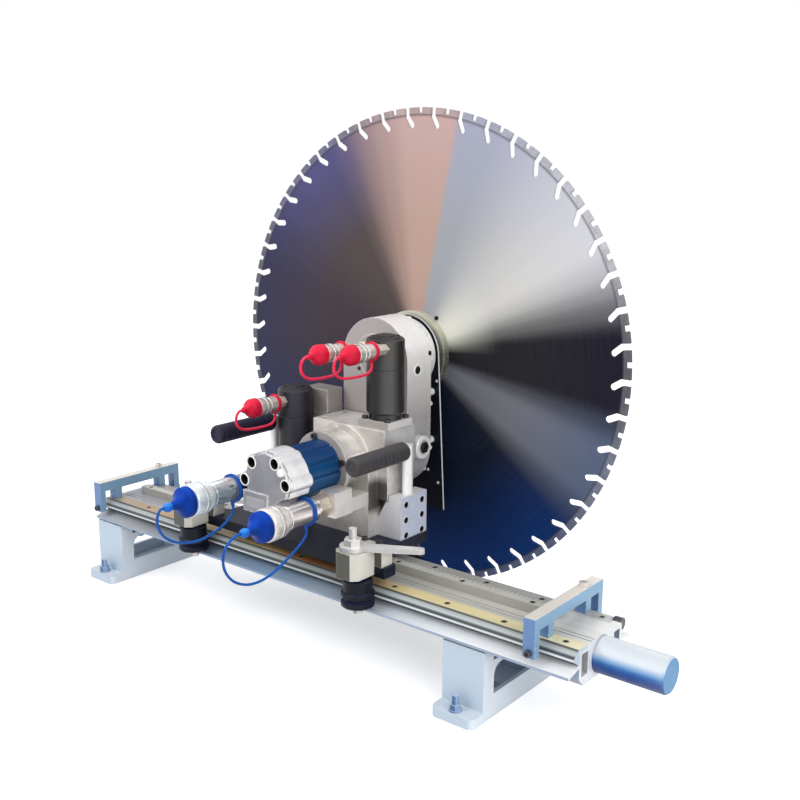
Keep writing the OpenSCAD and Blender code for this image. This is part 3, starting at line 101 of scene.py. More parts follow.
class Nodes:
    """Short helpers around the node tree of a new material, or of the world given as owner."""

    def __init__(self, name="", owner=None):
        self.material = owner or bpy.data.materials.new(name)
        self.material.use_nodes = True
        self.tree = self.material.node_tree
        self.shader = self.tree.nodes.get("Principled BSDF")
        self.coord = self.add("ShaderNodeTexCoord")

    def add(self, kind, **settings):
        node = self.tree.nodes.new(kind)
        for key, value in settings.items():
            setattr(node, key, value)
        return node

    def link(self, source, target):
        self.tree.links.new(source, target)

    def put(self, value, socket):
        """Links an output to a socket, or sets the socket to a number or a colour code."""
        if isinstance(value, str):
            socket.default_value = colour(value)
        elif isinstance(value, (int, float)):
            socket.default_value = value
        elif value is not None:
            self.link(value, socket)

    def stretched(self, scale):
        mapping = self.add("ShaderNodeMapping")
        mapping.inputs["Scale"].default_value = scale
        self.link(self.coord.outputs["Object"], mapping.inputs["Vector"])
        return mapping.outputs["Vector"]

    def noise(self, scale, detail=4.0, rough=0.55, stretch=None, vector=None):
        node = self.add("ShaderNodeTexNoise")
        node.inputs["Scale"].default_value = scale
        node.inputs["Detail"].default_value = detail
        node.inputs["Roughness"].default_value = rough
        if vector is None:
            vector = self.stretched(stretch) if stretch else self.coord.outputs["Object"]
        self.link(vector, node.inputs["Vector"])
        return node.outputs["Fac"]

    def fit(self, value, low, high, out_low=0.0, out_high=1.0):
        node = self.add("ShaderNodeMapRange")
        for key, number in zip(("From Min", "From Max", "To Min", "To Max"), (low, high, out_low, out_high)):
            node.inputs[key].default_value = number
        self.link(value, node.inputs["Value"])
        return node.outputs["Result"]

    def fit_size(self, value, low, high):
        return self.fit(self.math("ABSOLUTE", value), low, high)

    def soft(self, value, low, high):
        """0 to 1 with an eased start and end."""
        result = self.fit(value, low, high)
        result.node.interpolation_type = "SMOOTHSTEP"
        return result

    def math(self, operation, a, b=None):
        node = self.add("ShaderNodeMath", operation=operation)
        for socket, value in zip(node.inputs, (a, b)):
            self.put(value, socket)
        return node.outputs[0]

    def mix(self, factor, a, b, blend="MIX"):
        """Blends two tones, each an output or a colour code."""
        node = self.add("ShaderNodeMix", data_type="RGBA", blend_type=blend)
        for socket, value in ((node.inputs[0], factor), (node.inputs[6], a), (node.inputs[7], b)):
            self.put(value, socket)
        return node.outputs[2]

    def over(self, tint, value, low, high, other, weight=1.0):
        """Lays another tone over a tint as a value goes from low to high."""
        return self.mix(self.fit(value, low, high, 0.0, weight), tint, other)

    def ramp(self, factor, stops):
        """Tones along a value, from pairs of place and colour code."""
        node = self.add("ShaderNodeValToRGB")
        elements = node.color_ramp.elements
        while len(elements) < len(stops):
            elements.new(0.5)
        for element, (place, code) in zip(elements, stops):
            element.position = place
            element.color = colour(code)
        self.link(factor, node.inputs["Fac"])
        return node.outputs["Color"]

    def split(self, kind):
        """The three parts of the place (Object) or of the facing (Normal)."""
        node = self.add("ShaderNodeSeparateXYZ")
        self.link(self.coord.outputs[kind], node.inputs[0])
        return node.outputs

    def bevel(self, radius):
        node = self.add("ShaderNodeBevel", samples=4)
        node.inputs["Radius"].default_value = radius
        return node.outputs["Normal"]

    def edge_mask(self, radius):
        """1 along outer and inner edges, 0 on open faces."""
        geometry = self.add("ShaderNodeNewGeometry")
        dot = self.add("ShaderNodeVectorMath", operation="DOT_PRODUCT")
        self.link(self.bevel(radius), dot.inputs[0])
        self.link(geometry.outputs["Normal"], dot.inputs[1])
        return self.fit(dot.outputs["Value"], 0.985, 0.9)

    def bump(self, height, strength, distance, normal=None):
        node = self.add("ShaderNodeBump")
        node.inputs["Strength"].default_value = strength
        node.inputs["Distance"].default_value = distance
        self.link(height, node.inputs["Height"])
        if normal is not None:
            self.link(normal, node.inputs["Normal"])
        return node.outputs["Normal"]

    def finish(self, tint, grain, rough, normal, metal=0.0, **sockets):
        """Wires up the shader; the roughness runs between its two values with the grain."""
        self.link(tint, self.shader.inputs["Base Color"])
        self.link(self.fit(grain, NOISE_LOW, NOISE_HIGH, *rough), self.shader.inputs["Roughness"])
        self.link(normal, self.shader.inputs["Normal"])
        self.shader.inputs["Metallic"].default_value = metal
        for key, value in sockets.items():
            self.shader.inputs[key.replace("_", " ")].default_value = value
        return self.material


def tones(n, tint, spread, grain=900.0, patch=14.0, stretch=None):
    """Lightens and darkens a colour by broad patches and fine grain; also gives the grain itself."""
    broad = n.noise(patch, 3.0)
    fine = n.noise(grain, 3.0, stretch=stretch)
    shade = n.math("ADD", n.math("MULTIPLY", broad, 0.65), n.math("MULTIPLY", fine, 0.35))
    level = n.fit(shade, 0.33, 0.67, 1.0 - spread, 1.0 + spread)
    return n.mix(1.0, tint, level, "MULTIPLY"), fine, broad


def edge_wear_and_highlight(n, tint, worn_lit_edge, bevel, wear):
    """Bare rubbed metal and a painted highlight along the edges, broken up by a scuff pattern."""
    scuff = n.fit(n.noise(260.0, 5.0), 0.42, 0.62)
    mask = n.math("MULTIPLY", n.math("MULTIPLY", n.edge_mask(bevel * 1.6), scuff), wear)
    return n.mix(mask, tint, worn_lit_edge)


LEAN_LOW, LEAN_HIGH = 0.3, 0.85  # how far a face leans to a side as it takes that side's tone


def facing(n, up, front, right, left=None, under=None):
    """A part's colour by the side that a face belongs to: one tone of painted light and shade for each side.
    """
    normal = n.split("Normal")
    tint = n.over(front, normal[0], LEAN_LOW, LEAN_HIGH, right)
    tint = n.over(tint, normal[0], -LEAN_LOW, -LEAN_HIGH, left or front)
    if under:
        tint = n.over(tint, normal[2], -LEAN_LOW, -LEAN_HIGH, under)
    return n.over(tint, normal[2], LEAN_LOW, LEAN_HIGH, up)


M = {}  # the materials by name


def surface(name, sides, rough, metal=0.0, spread=0.08, grain=900.0, stretch=None, bump=0.25, depth=0.0003,
            bevel=0.0008, worn_lit_edge=None, wear=0.6, patch=14.0, **sockets):
    """A finish with one tone for each side as painted light and shade, patches, fine grain, rounded edges,
    and bare rubbed metal with painted highlights along them.
    """
    n = Nodes(name)
    tint, fine, broad = tones(n, facing(n, *sides), spread, grain, patch, stretch)
    if worn_lit_edge:
        tint = edge_wear_and_highlight(n, tint, worn_lit_edge, bevel, wear)
    blend = n.math("ADD", n.math("MULTIPLY", fine, 0.5), n.math("MULTIPLY", broad, 0.5))
    M[name] = n.finish(tint, blend, rough, n.bump(fine, bump, depth, n.bevel(bevel)), metal, **sockets)


# Tones of each finish, painted light and shade by side: up, front, right, and where they differ left and
# underside
surface("rack_steel", ("c9c7bd", "a3a19a", "bdbab1"), (0.38, 0.52), 0.1, grain=500, stretch=(0.2, 1, 1))
surface("dark_screws", ("4a4a50", "2f2f36", "3c3c44"), (0.3, 0.45), 0.4, bevel=0.0005)
surface("foot_grey", ("d6dfe8", "bccbd9", "e2eaf2", "a9b9cb", "74859d"), (0.38, 0.5), spread=0.04,
        grain=700, bump=0.3, bevel=0.0016, worn_lit_edge="eef3f7", patch=9.0, Specular_IOR_Level=0.4)
surface("bolt_steel", ("b9cbe0", "3f608f", "8da6c6"), (0.25, 0.4), 0.3, grain=600, bevel=0.0006,
        worn_lit_edge="e6eef6")
surface("stop_grey", ("e6ded5", "5f7fae", "7ea4c2", "a7b3c6"), (0.34, 0.48), 0.1, spread=0.05, grain=700,
        stretch=(1, 0.15, 1), bevel=0.0010, worn_lit_edge="f4f2ef")
surface("plate_dark", ("262c40", "10141e", "181d2a"), (0.38, 0.5), 0.0, bevel=0.0012, worn_lit_edge="4c525e",
        wear=0.35, Specular_IOR_Level=0.12)
surface("block_olive", ("cfccc0", "44433b", "e2ded4", "5a594e"), (0.38, 0.5), 0.1, grain=600,
        stretch=(1, 1, 0.2), bevel=0.0012, worn_lit_edge="e6e2d6")
surface("bracket", ("e6e3e2", "d8d6d8", "b9c0d2", "9b9a9a", "8d8985"), (0.36, 0.5), 0.1, spread=0.09,
        grain=650, bump=0.4, depth=0.0005, bevel=0.0020, worn_lit_edge="f4f5f8", patch=18.0)
surface("motor_blue", ("123c74", "104674", "0d4a7c", "123c66", "041c2a"), (0.26, 0.38), 0.1, spread=0.08,
        grain=500, stretch=(1, 0.1, 1), bevel=0.0012, worn_lit_edge="3f88bc", wear=0.6, patch=20.0,
        Specular_IOR_Level=0.35)
surface("cap_aluminium", ("ecebec", "87868c", "f4f2f2", "3e3c40", "7d7b80"), (0.28, 0.42), 0.2,
        spread=0.16, grain=500, bump=0.5, depth=0.0006, bevel=0.0030, worn_lit_edge="ffffff", wear=0.9, patch=40.0)
surface("blank_plate", ("e4e2e3", "9a989b", "c8c6c6", "6f6d70", "7d7b80"), (0.28, 0.42), 0.2, spread=0.12,
        grain=420, bump=0.6, bevel=0.0006, worn_lit_edge="e8e6e4", wear=0.3)
surface("ring_aluminium", ("cfcac5", "a39d98", "d2cfcc", "a5a2a0", "8c8987"), (0.3, 0.45), 0.1, grain=700,
        stretch=(1, 6, 1), bevel=0.0012, worn_lit_edge="f6f4f2")
surface("port_steel", ("ece9e4", "d6cfca", "cfcbc6", "a9a19c", "8a8580"), (0.26, 0.4), 0.25, spread=0.14,
        grain=500, bevel=0.0018, worn_lit_edge="fbf8f4", wear=0.9, patch=34.0)
surface("post_steel", ("fbfaf9", "ffffff", "e8e6e4", "b3b0ae"), (0.25, 0.38), 0.2, spread=0.04, grain=700,
        stretch=(1, 1, 0.1))
surface("grip_rubber", ("4e4c4e", "3f3c3e", "343133", "2e2a2e"), (0.5, 0.7), grain=420, bump=0.6,
        depth=0.0006, bevel=0.0012, worn_lit_edge="6c696b", wear=0.4, Specular_IOR_Level=0.3)
surface("grip_navy", ("2c2c42", "1e1d33", "1a192c", "151424"), (0.5, 0.7), grain=420, bump=0.6,
        depth=0.0006, bevel=0.0012, worn_lit_edge="55566c", wear=0.4, Specular_IOR_Level=0.3)
surface("bearing_steel", ("c9c8c6", "b5b4b2", "bdbcba"), (0.2, 0.34), 0.8)
surface("coupler_zinc", ("f6f3ee", "e2dbd3", "cdc7c1", "d2cbc3", "8f8b88"), (0.2, 0.32), 0.55, spread=0.07,
        grain=700, stretch=(1, 8, 1), bevel=0.0007, patch=26.0, worn_lit_edge="ffffff")
surface("coupler_barrel", ("fffdfa", "f6e6e6", "d9cfd0", "d0c8c6", "8f898c"), (0.13, 0.22), 0.75,
        spread=0.06, grain=600, stretch=(1, 0.08, 1), bevel=0.0006)
surface("coupler_cool", ("eef3f4", "d3dcdf", "bfc8cc", "c6d0d4", "838c92"), (0.2, 0.32), 0.5, spread=0.08,
        grain=700, stretch=(1, 8, 1), bevel=0.0007, patch=26.0, worn_lit_edge="ffffff")
surface("barrel_cool", ("eef5f8", "c4d0d8", "a3afb8", "aebac4", "76828e"), (0.13, 0.22), 0.75, spread=0.06,
        grain=600, stretch=(1, 0.08, 1), bevel=0.0006)
surface("hex_zinc", ("f2e8dc", "e0d2c0", "cfc2ae", "c4b4a0", "8d7f6d"), (0.24, 0.36), 0.4, spread=0.10,
        grain=400, bevel=0.0009, worn_lit_edge="fffaf2", wear=0.9)
surface("gear_steel", ("8b8b8e", "77777b", "7d7d81"), (0.28, 0.45), 0.8)
surface("roller_black", ("1c2236", "060a16", "0b101c", "05080f"), (0.34, 0.46), 0.0, grain=500,
        bevel=0.0010, worn_lit_edge="4a5268", wear=0.5, Specular_IOR_Level=0.18)
surface("lever_steel", ("f2f0ed", "8f8f90", "cfccc9", "8e8d8d"), (0.24, 0.36), 0.35, spread=0.07,
        grain=450, bevel=0.0012, worn_lit_edge="ffffff")
surface("wheel_bronze", ("b78645", "9a6d35", "a87a3e"), (0.28, 0.45), 0.8)
surface("cap_blue", ("0846ba", "033496", "02307f", "1254c4", "022a70"), (0.42, 0.52), spread=0.06,
        grain=900, bump=0.12, bevel=0.0012, Specular_IOR_Level=0.1)
surface("cord_blue", ("1562c0", "083f96", "0c54a8", "05246a", "03164c"), (0.4, 0.5), spread=0.08,
        grain=700, bump=0.12, bevel=0.0004, Specular_IOR_Level=0.2)
surface("knob_blue", ("3a92ec", "1a72d6", "1462c0", "2a86e4", "083c8c"), (0.36, 0.46), spread=0.06,
        grain=700, bump=0.12, bevel=0.0008, Specular_IOR_Level=0.2)
surface("strap_red", ("ff5470", "ea2850", "dc1e46", "f03a5c", "b0103a"), (0.4, 0.5), spread=0.08,
        grain=900, bump=0.12, bevel=0.0006, Specular_IOR_Level=0.25)
surface("cap_red", ("f02a4c", "d80c34", "c00a30", "dc1038", "9c0628"), (0.4, 0.5), spread=0.08, grain=900,
        bump=0.12, bevel=0.0010, Specular_IOR_Level=0.2)
surface("plug_dark", ("262524", "171615", "1c1b1a"), (0.4, 0.55), 0.1, bevel=0.0004,
        Specular_IOR_Level=0.25)
surface("bright_screw", ("f2f1ef", "e8e6e4", "eeecea"), (0.2, 0.34), 0.2, spread=0.04, bevel=0.0004)


def rail_material():
    """Drawn aluminium, warm and matt on top and cool on the sloping wings; painted reflections along both,
    painted dark shade under them, bluish painted shade on the outer upright faces and painted light on the
    ends.
    """
    n = Nodes("rail_aluminium")
    place = n.split("Object")
    streak = n.noise(240.0, 4.0, stretch=(0.02, 1, 1))
    broad = n.noise(6.0, 2.0, stretch=(0.5, 1, 1))
    along = n.fit(place[0], RAIL_X0, RAIL_X1)
    # painted reflections along the top and the wings, brighter towards the right end
    top = n.ramp(along, [(0.0, "b0b2be"), (0.3, "a5a3a2"), (0.62, "b4b2ab"),
                         (0.85, "cfcdc5"), (1.0, "e4e2db")])
    wing = n.ramp(along, [(0.0, "b9c0ca"), (0.12, "aaabb0"), (0.30, "7f93ad"), (0.48, "86a3bf"),
                          (0.65, "bcc6d3"), (0.82, "f4f8fc"), (1.0, "ffffff")])
    outside = n.fit_size(place[1], WING_Y0, WING_Y1)
    normal = n.split("Normal")
    # painted shade by facing: upright faces more than 50 mm out are bluish, end faces light, faces turned
    # down dark
    groove = n.mix(n.fit_size(place[1], 0.048, 0.050), "b4b2ac", "8296b2")
    side = n.over(groove, normal[0], 0.4, 0.9, "e4e6e9")
    under = n.over(side, normal[2], -0.2, -0.8, "33435f")
    tint = n.mix(n.fit(normal[2], 0.3, 0.8), under, n.mix(outside, top, wing))
    tint = n.over(tint, streak, 0.35, 0.7, "7c7f86", 0.22)
    # broad light patches along the rail: painted sheen
    tint = n.over(tint, broad, 0.4, 0.7, "eceae4", 0.25)
    return n.finish(tint, streak, (0.3, 0.44), n.bump(streak, 0.2, 0.0003, n.bevel(0.0006)), 0.1)


def strip_material():
    """Hard-coated wear strip: gold on the front flat with painted reflections and highlights along it, bare
    at the rear, steel in the V with painted light and dark lines.
    """
    n = Nodes("strip_gold")
    place = n.split("Object")
    streak = n.noise(300.0, 4.0, stretch=(0.03, 1, 1))
    broad = n.noise(16.0, 3.0, stretch=(0.5, 1, 1))
    normal = n.split("Normal")
    along = n.fit(place[0], RAIL_X0, RAIL_X1)
    # gold with painted reflections and highlights that change along the rail
    gold = n.ramp(along, [(0.0, "b8a998"), (0.26, "cc9f64"), (0.42, "ffe0a0"), (0.52, "f39552"),
                          (0.60, "ddb27c"), (0.74, "f3e2a8"), (1.0, "f8f0c6")])
    gold = n.over(gold, broad, 0.45, 0.75, "c9ab84", 0.35)
    flat = n.over(gold, place[1], -0.02, 0.02, "b6b4ae")
    # painted light and dark lines up the V's upper face
    upper = n.ramp(n.fit(place[2], 0.130, 0.142), [
        (0.0, "eef2f3"), (0.16, "d3d9db"), (0.25, "2a3136"), (0.40, "4c5456"),
        (0.54, "bcc2c3"), (0.80, "a2a8a7"), (0.88, "3b3f3d"), (1.0, "77736a")])
    # painted highlight near the V's tip, painted shade below it
    lower = n.over("f2f6f8", place[2], 0.1285, 0.1265, "1c2430")
    vee = n.over(lower, normal[2], -0.1, 0.1, upper)
    # end faces of the V painted light
    vee = n.over(vee, normal[0], 0.4, 0.9, "c9d2de")
    tint = n.over(vee, normal[2], 0.88, 0.96, flat)
    tint = n.over(tint, streak, 0.45, 0.75, "8b8272", 0.2)
    return n.finish(tint, streak, (0.3, 0.44), n.bump(streak, 0.12, 0.0003, n.bevel(0.0005)), 0.1)


def tube_material():
    """Turned steel painted light on top and dark blue underneath as painted shade, with a painted bluish end
    face.
    """
    n = Nodes("tube_steel")
    ring = n.noise(900.0, 3.0, stretch=(1, 0.05, 0.05))
    broad = n.noise(9.0, 2.0)
    normal = n.split("Normal")
    # painted light and shade round the tube, dark blue below to light above
    tint = n.ramp(n.fit(normal[2], -1.0, 1.0), [
        (0.0, "08265c"), (0.25, "0a3076"), (0.42, "0e4490"), (0.52, "2e6aac"),
        (0.62, "86abd0"), (0.74, "d2d9e0"), (1.0, "d4d8dd")])
    # painted bluish shade on the end face
    tint = n.over(tint, normal[0], 0.5, 0.9, "4583b3")
    tint = n.over(tint, broad, 0.35, 0.65, "c9ccd2", 0.12)
    tint = n.over(tint, ring, 0.45, 0.7, "8b93a1", 0.1)
    return n.finish(tint, ring, (0.36, 0.46),
                    n.bump(ring, 0.12, 0.0002, n.bevel(0.0012)), 0.05, Specular_IOR_Level=0.25)


def arm_material():
    """Blasted aluminium: grey front, machined side painted brightest towards the blade spindle as painted
    light, faces turned left painted darker as shade.
    """
    n = Nodes("arm_aluminium")
    place, normal = n.split("Object"), n.split("Normal")
    brushed = n.noise(300.0, 4.0, stretch=(1, 1, 0.06))
    # painted light: the side brightens upwards towards the spindle
    side = n.ramp(n.fit(place[2], 0.225, 0.50), [
        (0.0, "a6a7a9"), (0.45, "a9a5a3"), (0.70, "d4d0cc"), (0.9, "fbf8f5")])
    side = n.over(side, brushed, 0.4, 0.7, "8f8c89", 0.15)
    front = n.over("b0a9a6", place[2], 0.30, 0.50, "a79f9d")
    tint = n.mix(n.fit_size(normal[1], 0.95, 0.6), front, side)
    # painted shade on faces turned left
    tint = n.over(tint, normal[0], -0.3, -0.9, "96918e")
    tint, fine, _ = tones(n, tint, 0.06, 800.0, 11.0)
    tint = edge_wear_and_highlight(n, tint, "f6f4f0", 0.0018, 0.8)
    return n.finish(tint, fine, (0.38, 0.52), n.bump(fine, 0.25, 0.0003, n.bevel(0.0016)), 0.05)


def guard_material():
    """Dark shield sheet whose bare edge is painted bright as a highlight on every face turned sideways."""
    n = Nodes("guard_dark")
    normal = n.split("Normal")
    tint, fine, _ = tones(n, "12141e", 0.12, 700.0, 10.0)
    # painted highlight on the edge faces
    edge = n.mix(fine, "d3d4d6", "f4f4f5")
    tint = n.mix(n.fit_size(normal[1], 0.9, 0.6), tint, edge)
    return n.finish(tint, fine, (0.38, 0.52), n.bump(fine, 0.15, 0.0003), 0.05, Specular_IOR_Level=0.2)


# Light on the ground blade, painted streak over streak on its ground tone. In degrees from +X about the
# spindle: where a streak starts, is full, starts to fade and ends; then its tone near the flange and rim
BLADE_GROUND = ("433a41", "37364e")
BLADE_STREAKS = {
    "violet_rim": (98, 121, 126, 166, "504645", "524f7a"),
    "blue_sheen": (-180, -118, -118, -58, "1c3460", "163c72"),
    "blue_shadow": (-130, -76, -44, -24, "0e192b", "06306a"),
    "black_shadow": (-54, -6, 40, 70, "201f24", "151322"),
    "grey_cone": (-41, -27, -18, -6, "6e6f77", "56617a"),
    "white_cone": (9, 31, 79, 81, "cccac6", "c9c9cd"),
    "cool_fade": (28, 72, 79, 81, "9c9ea4", "9fa1b3"),
    "rose_cone": (76, 80, 91, 122, "b5988b", "bd9f9a"),
}


def blade_tint(n):
    """Ground steel with painted reflections whose tone turns with the angle about the spindle, and changes
    towards the rim.
    """
    place = n.split("Object")
    dx = n.math("SUBTRACT", place[0], PIVOT_X * MM)
    dz = n.math("SUBTRACT", place[2], SPIN_Z * MM)
    angle = n.math("ARCTAN2", dz, dx)
    radius = n.math("SQRT", n.math("ADD", n.math("MULTIPLY", dx, dx), n.math("MULTIPLY", dz, dz)))
    polar = n.add("ShaderNodeCombineXYZ")
    n.link(n.math("SINE", angle), polar.inputs[0])
    n.link(n.math("COSINE", angle), polar.inputs[1])
    ray = n.noise(9.0, 2.0, 0.5, vector=polar.outputs[0])
    waver = n.fit(ray, NOISE_LOW, NOISE_HIGH, -1.1, 1.1)
    turn = n.math("ADD", n.math("MULTIPLY", angle, math.degrees(1.0)), waver)
    outward = n.fit(radius, BLADE_SHADE_R0, BLADE_SHADE_R1)
    tint = n.mix(outward, *BLADE_GROUND)
    for start, full, fade, end, inner, rim in BLADE_STREAKS.values():
        mask = n.math("MINIMUM", n.soft(turn, start, full), n.soft(turn, end, fade))
        tint = n.mix(mask, tint, n.mix(outward, inner, rim))
    # A painted pale highlight close to the flange, between about 3 and 60 degrees
    glow = n.math("MULTIPLY", n.fit(radius, 0.17, 0.07, 0.0, 0.75), n.fit(angle, 0.06, 0.40))
    glow = n.math("MULTIPLY", glow, n.fit(angle, 1.05, 0.65))
    tint = n.mix(glow, tint, "e6e6d6")
    return tint, angle, radius


def blade_material():
    """Ground steel core with its painted reflections, fine rings and a darker weld line under the segments.
    """
    n = Nodes("blade_steel")
    tint, angle, radius = blade_tint(n)
    spiral = n.add("ShaderNodeCombineXYZ")
    n.link(n.math("MULTIPLY", radius, 900.0), spiral.inputs[0])
    n.link(n.math("MULTIPLY", angle, 2.0), spiral.inputs[1])
    grind = n.noise(1.0, 3.0, vector=spiral.outputs[0])
    tint = n.over(tint, grind, 0.35, 0.7, "e6e6ea", 0.012)
    weld = n.math("MULTIPLY", n.fit(radius, 0.3845, 0.3862), n.fit(radius, 0.3885, 0.3878))
    tint = n.mix(n.math("MULTIPLY", weld, 0.3), tint, "3b3b42")
    return n.finish(tint, grind, (0.4, 0.5),
                    n.bump(grind, 0.03, 0.0001, n.bevel(0.0004)), 0.0, Specular_IOR_Level=0.06)


def segment_material():
    """Sintered segments: the blade's painted reflections, greyer and grainy."""
    n = Nodes("segment_grey")
    tint, _, radius = blade_tint(n)
    tint = n.mix(0.3, tint, "a3a2a8")
    tint, fine, _ = tones(n, tint, 0.2, 1500.0, 60.0)
    weld = n.fit(radius, 0.3905, 0.3890)
    tint = n.mix(n.math("MULTIPLY", weld, 0.6), tint, "45454b")
    return n.finish(tint, fine, (0.55, 0.75),
                    n.bump(fine, 0.9, 0.0008, n.bevel(0.0006)), 0.0, Specular_IOR_Level=0.15)


def rail_screw_material():
    """Black screws in the strips and the stops' sides, bright ones on top of the stops."""
    n = Nodes("rail_screws")
    place = n.split("Object")
    tint, fine, _ = tones(n, n.over("4b4a4e", place[2], 0.164, 0.166, "d8d3cd"), 0.12)
    return n.finish(tint, fine, (0.3, 0.45), n.bump(fine, 0.2, 0.0003, n.bevel(0.0005)), 0.5)


def can_material(name, tones_by_turn):
    """Black lacquered motor can with painted light and shade round it: dark on its left, a painted highlight
    on faces turned towards +X and a lighter top.
    """
    n = Nodes(name)
    normal = n.split("Normal")
    tint = n.ramp(n.fit(normal[0], -1.0, 1.0), tones_by_turn)
    tint = n.over(tint, normal[2], 0.4, 0.9, "3c3a3a")
    tint, fine, _ = tones(n, tint, 0.07, 1200.0)
    tint = edge_wear_and_highlight(n, tint, "757371", 0.0012, 0.35)
    return n.finish(tint, fine, (0.34, 0.46),
                    n.bump(fine, 0.25, 0.0003, n.bevel(0.0012)), 0.0, Specular_IOR_Level=0.3)


def flange_material():
    """Oiled steel flange with painted light above the spindle and painted shade below it."""
    n = Nodes("flange_steel")
    place = n.split("Object")
    # painted light above the spindle, painted shade below it
    high = n.fit(place[2], (SPIN_Z + 2) * MM, (SPIN_Z + 52) * MM)
    tint = n.mix(high, "3f3e34", "cdccb8")
    ring = n.noise(700.0, 2.0, stretch=(1, 0.05, 1))
    tint = n.over(tint, ring, 0.35, 0.7, "e6e5d6", 0.25)
    tint = edge_wear_and_highlight(n, tint, "f1f0e4", 0.0010, 0.8)
    return n.finish(tint, ring, (0.28, 0.4), n.bump(ring, 0.2, 0.0002, n.bevel(0.0010)), 0.25)


def casting_material():
    """Blasted casting: painted light and shade by side, bright rubbed crests with painted highlights, mottled
    skin, and a dark patch of painted shade low on its right side.
    """
    n = Nodes("casting")
    place = n.split("Object")
    # painted light and shade by side
    tint = facing(n, "f6f2ed", "d0cac4", "d6d3d0", "9a958f", "8a8580")
    tint, fine, _ = tones(n, tint, 0.14, 650.0, 30.0)
    blotch = n.fit(n.noise(34.0, 2.0, 0.4), 0.42, 0.66, 0.0, 0.4)
    tint = n.mix(blotch, tint, "aaa29a")
    tower = n.fit(place[2], 0.3505, 0.3525, 0.0, 0.8)
    tint = n.mix(tower, tint, "aca5a0")
    tint = edge_wear_and_highlight(n, tint, "fffefb", 0.0030, 0.5)
    # painted shade: a dark patch low on the right side, between the port block and the bracket
    painted_shade = n.fit(place[1], 0.047, 0.044, 0.0, 0.86)
    for axis, outside, inside in ((2, 0.276, 0.262), (2, 0.212, 0.224),
                                  (0, 0.1488, 0.1498), (0, 0.1708, 0.1700)):
        painted_shade = n.math("MULTIPLY", painted_shade, n.fit(place[axis], outside, inside))
    tint = n.mix(painted_shade, tint, "2e2825")
    return n.finish(tint, fine, (0.26, 0.4), n.bump(fine, 0.5, 0.0006, n.bevel(0.0030)), 0.35)


# painted light and shade round each can, by the way its faces turn
M["motor_black"] = can_material("motor_black", [
    (0.30, "0e0d0d"), (0.55, "161414"), (0.66, "292727"), (0.81, "4a4747"), (0.93, "4c4a48"),
    (1.0, "242221")])
M["feed_black"] = can_material("feed_black", [
    (0.30, "100f14"), (0.55, "1b1a20"), (0.72, "38363f"), (0.86, "3a3843"), (1.0, "26242c")])
M["flange_steel"] = flange_material()
M["casting"] = casting_material()
M["rail_aluminium"] = rail_material()
M["strip_gold"] = strip_material()
M["tube_steel"] = tube_material()
M["arm_aluminium"] = arm_material()
M["guard_dark"] = guard_material()
M["blade_steel"] = blade_material()
M["segment_grey"] = segment_material()
M["rail_screws"] = rail_screw_material()

FINISHES = {
    "rail_aluminium": ["rail_beam"],
    "strip_gold": ["wear_strips"],
    "rack_steel": ["gear_rack"],
    "rail_screws": ["rail_screws"],
    "dark_screws": ["carriage_screws", "flange_screws"],
    "bright_screw": ["arm_screws"],
    "tube_steel": ["joining_tube"],
    "foot_grey": ["left_foot", "right_foot"],
    "bolt_steel": ["foot_bolts"],
    "stop_grey": ["end_stops"],
    "plate_dark": ["carriage_base"],
    "block_olive": ["roller_blocks"],
    "casting": ["gearbox_housing"],
    "bracket": ["side_bracket"],
    "motor_black": ["swing_motor"],
    "feed_black": ["feed_motor"],
    "motor_blue": ["main_motor"],
    "cap_aluminium": ["motor_end_cap"],
    "ring_aluminium": ["mounting_ring", "motor_flanges"],
    "port_steel": ["port_blocks"],
    "post_steel": ["handle_posts"],
    "grip_rubber": ["right_grip"],
    "grip_navy": ["left_grip"],
    "bearing_steel": ["hub_bearings", "spindle_bearings", "idler_pin"],
    "coupler_zinc": ["main_couplers", "small_couplers"],
    "gear_steel": ["feed_pinion", "swing_worm", "drive_gear", "idler_gear", "spindle"],
    "roller_black": ["front_left_roller", "front_right_roller", "rear_left_roller", "rear_right_roller"],
    "lever_steel": ["left_lock_lever", "right_lock_lever"],
    "arm_aluminium": ["arm_housing", "arm_cover"],
    "wheel_bronze": ["worm_wheel"],
    "guard_dark": ["guard_plate"],
    "blade_steel": ["blade_core"],
    "segment_grey": ["blade_segments"],
    "flange_steel": ["inner_flange", "outer_flange"],
    "cap_blue": ["right_main_cap", "left_main_cap"],
    "cap_red": ["front_swing_cap", "rear_swing_cap", "feed_cap"],
}
for finish_name, members in FINISHES.items():
    for member in members:
        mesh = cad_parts[member].data
        mesh.materials.clear()
        mesh.materials.append(M[finish_name])

# ---- cords


def handles(route):
    """Smooth handles for each point of a route, a third of the way along its tangent."""
    result = []
    for i, point in enumerate(route):
        before = route[max(i - 1, 0)]
        after = route[min(i + 1, len(route) - 1)]
        tangent = (after - before).normalized()
        back = (point - before).length / 3.0
        ahead = (after - point).length / 3.0
        result.append((point - tangent * back, point + tangent * ahead))
    return result


def make_cord(name, points, width, body, finish, node):
    """A moulded lanyard swept round along its smooth route."""
    route = [Vector(p) * MM for p in points]
    ends = handles(route)
    data = bpy.data.curves.new(name, "CURVE")
    data.dimensions = "3D"
    data.resolution_u = 6
    data.bevel_depth = width / 2 * MM
    data.bevel_resolution = 4
    data.use_fill_caps = True
    spline = data.splines.new("BEZIER")
    spline.bezier_points.add(len(route) - 1)
    for point, place, (left, right) in zip(spline.bezier_points, route, ends):
        point.co = place
        point.handle_left_type = point.handle_right_type = "FREE"
        point.handle_left, point.handle_right = left, right
    data.materials.append(finish)
    cord = bpy.data.objects.new(name, data)
    scene.collection.objects.link(cord)
    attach(cord, body)
    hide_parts(node)


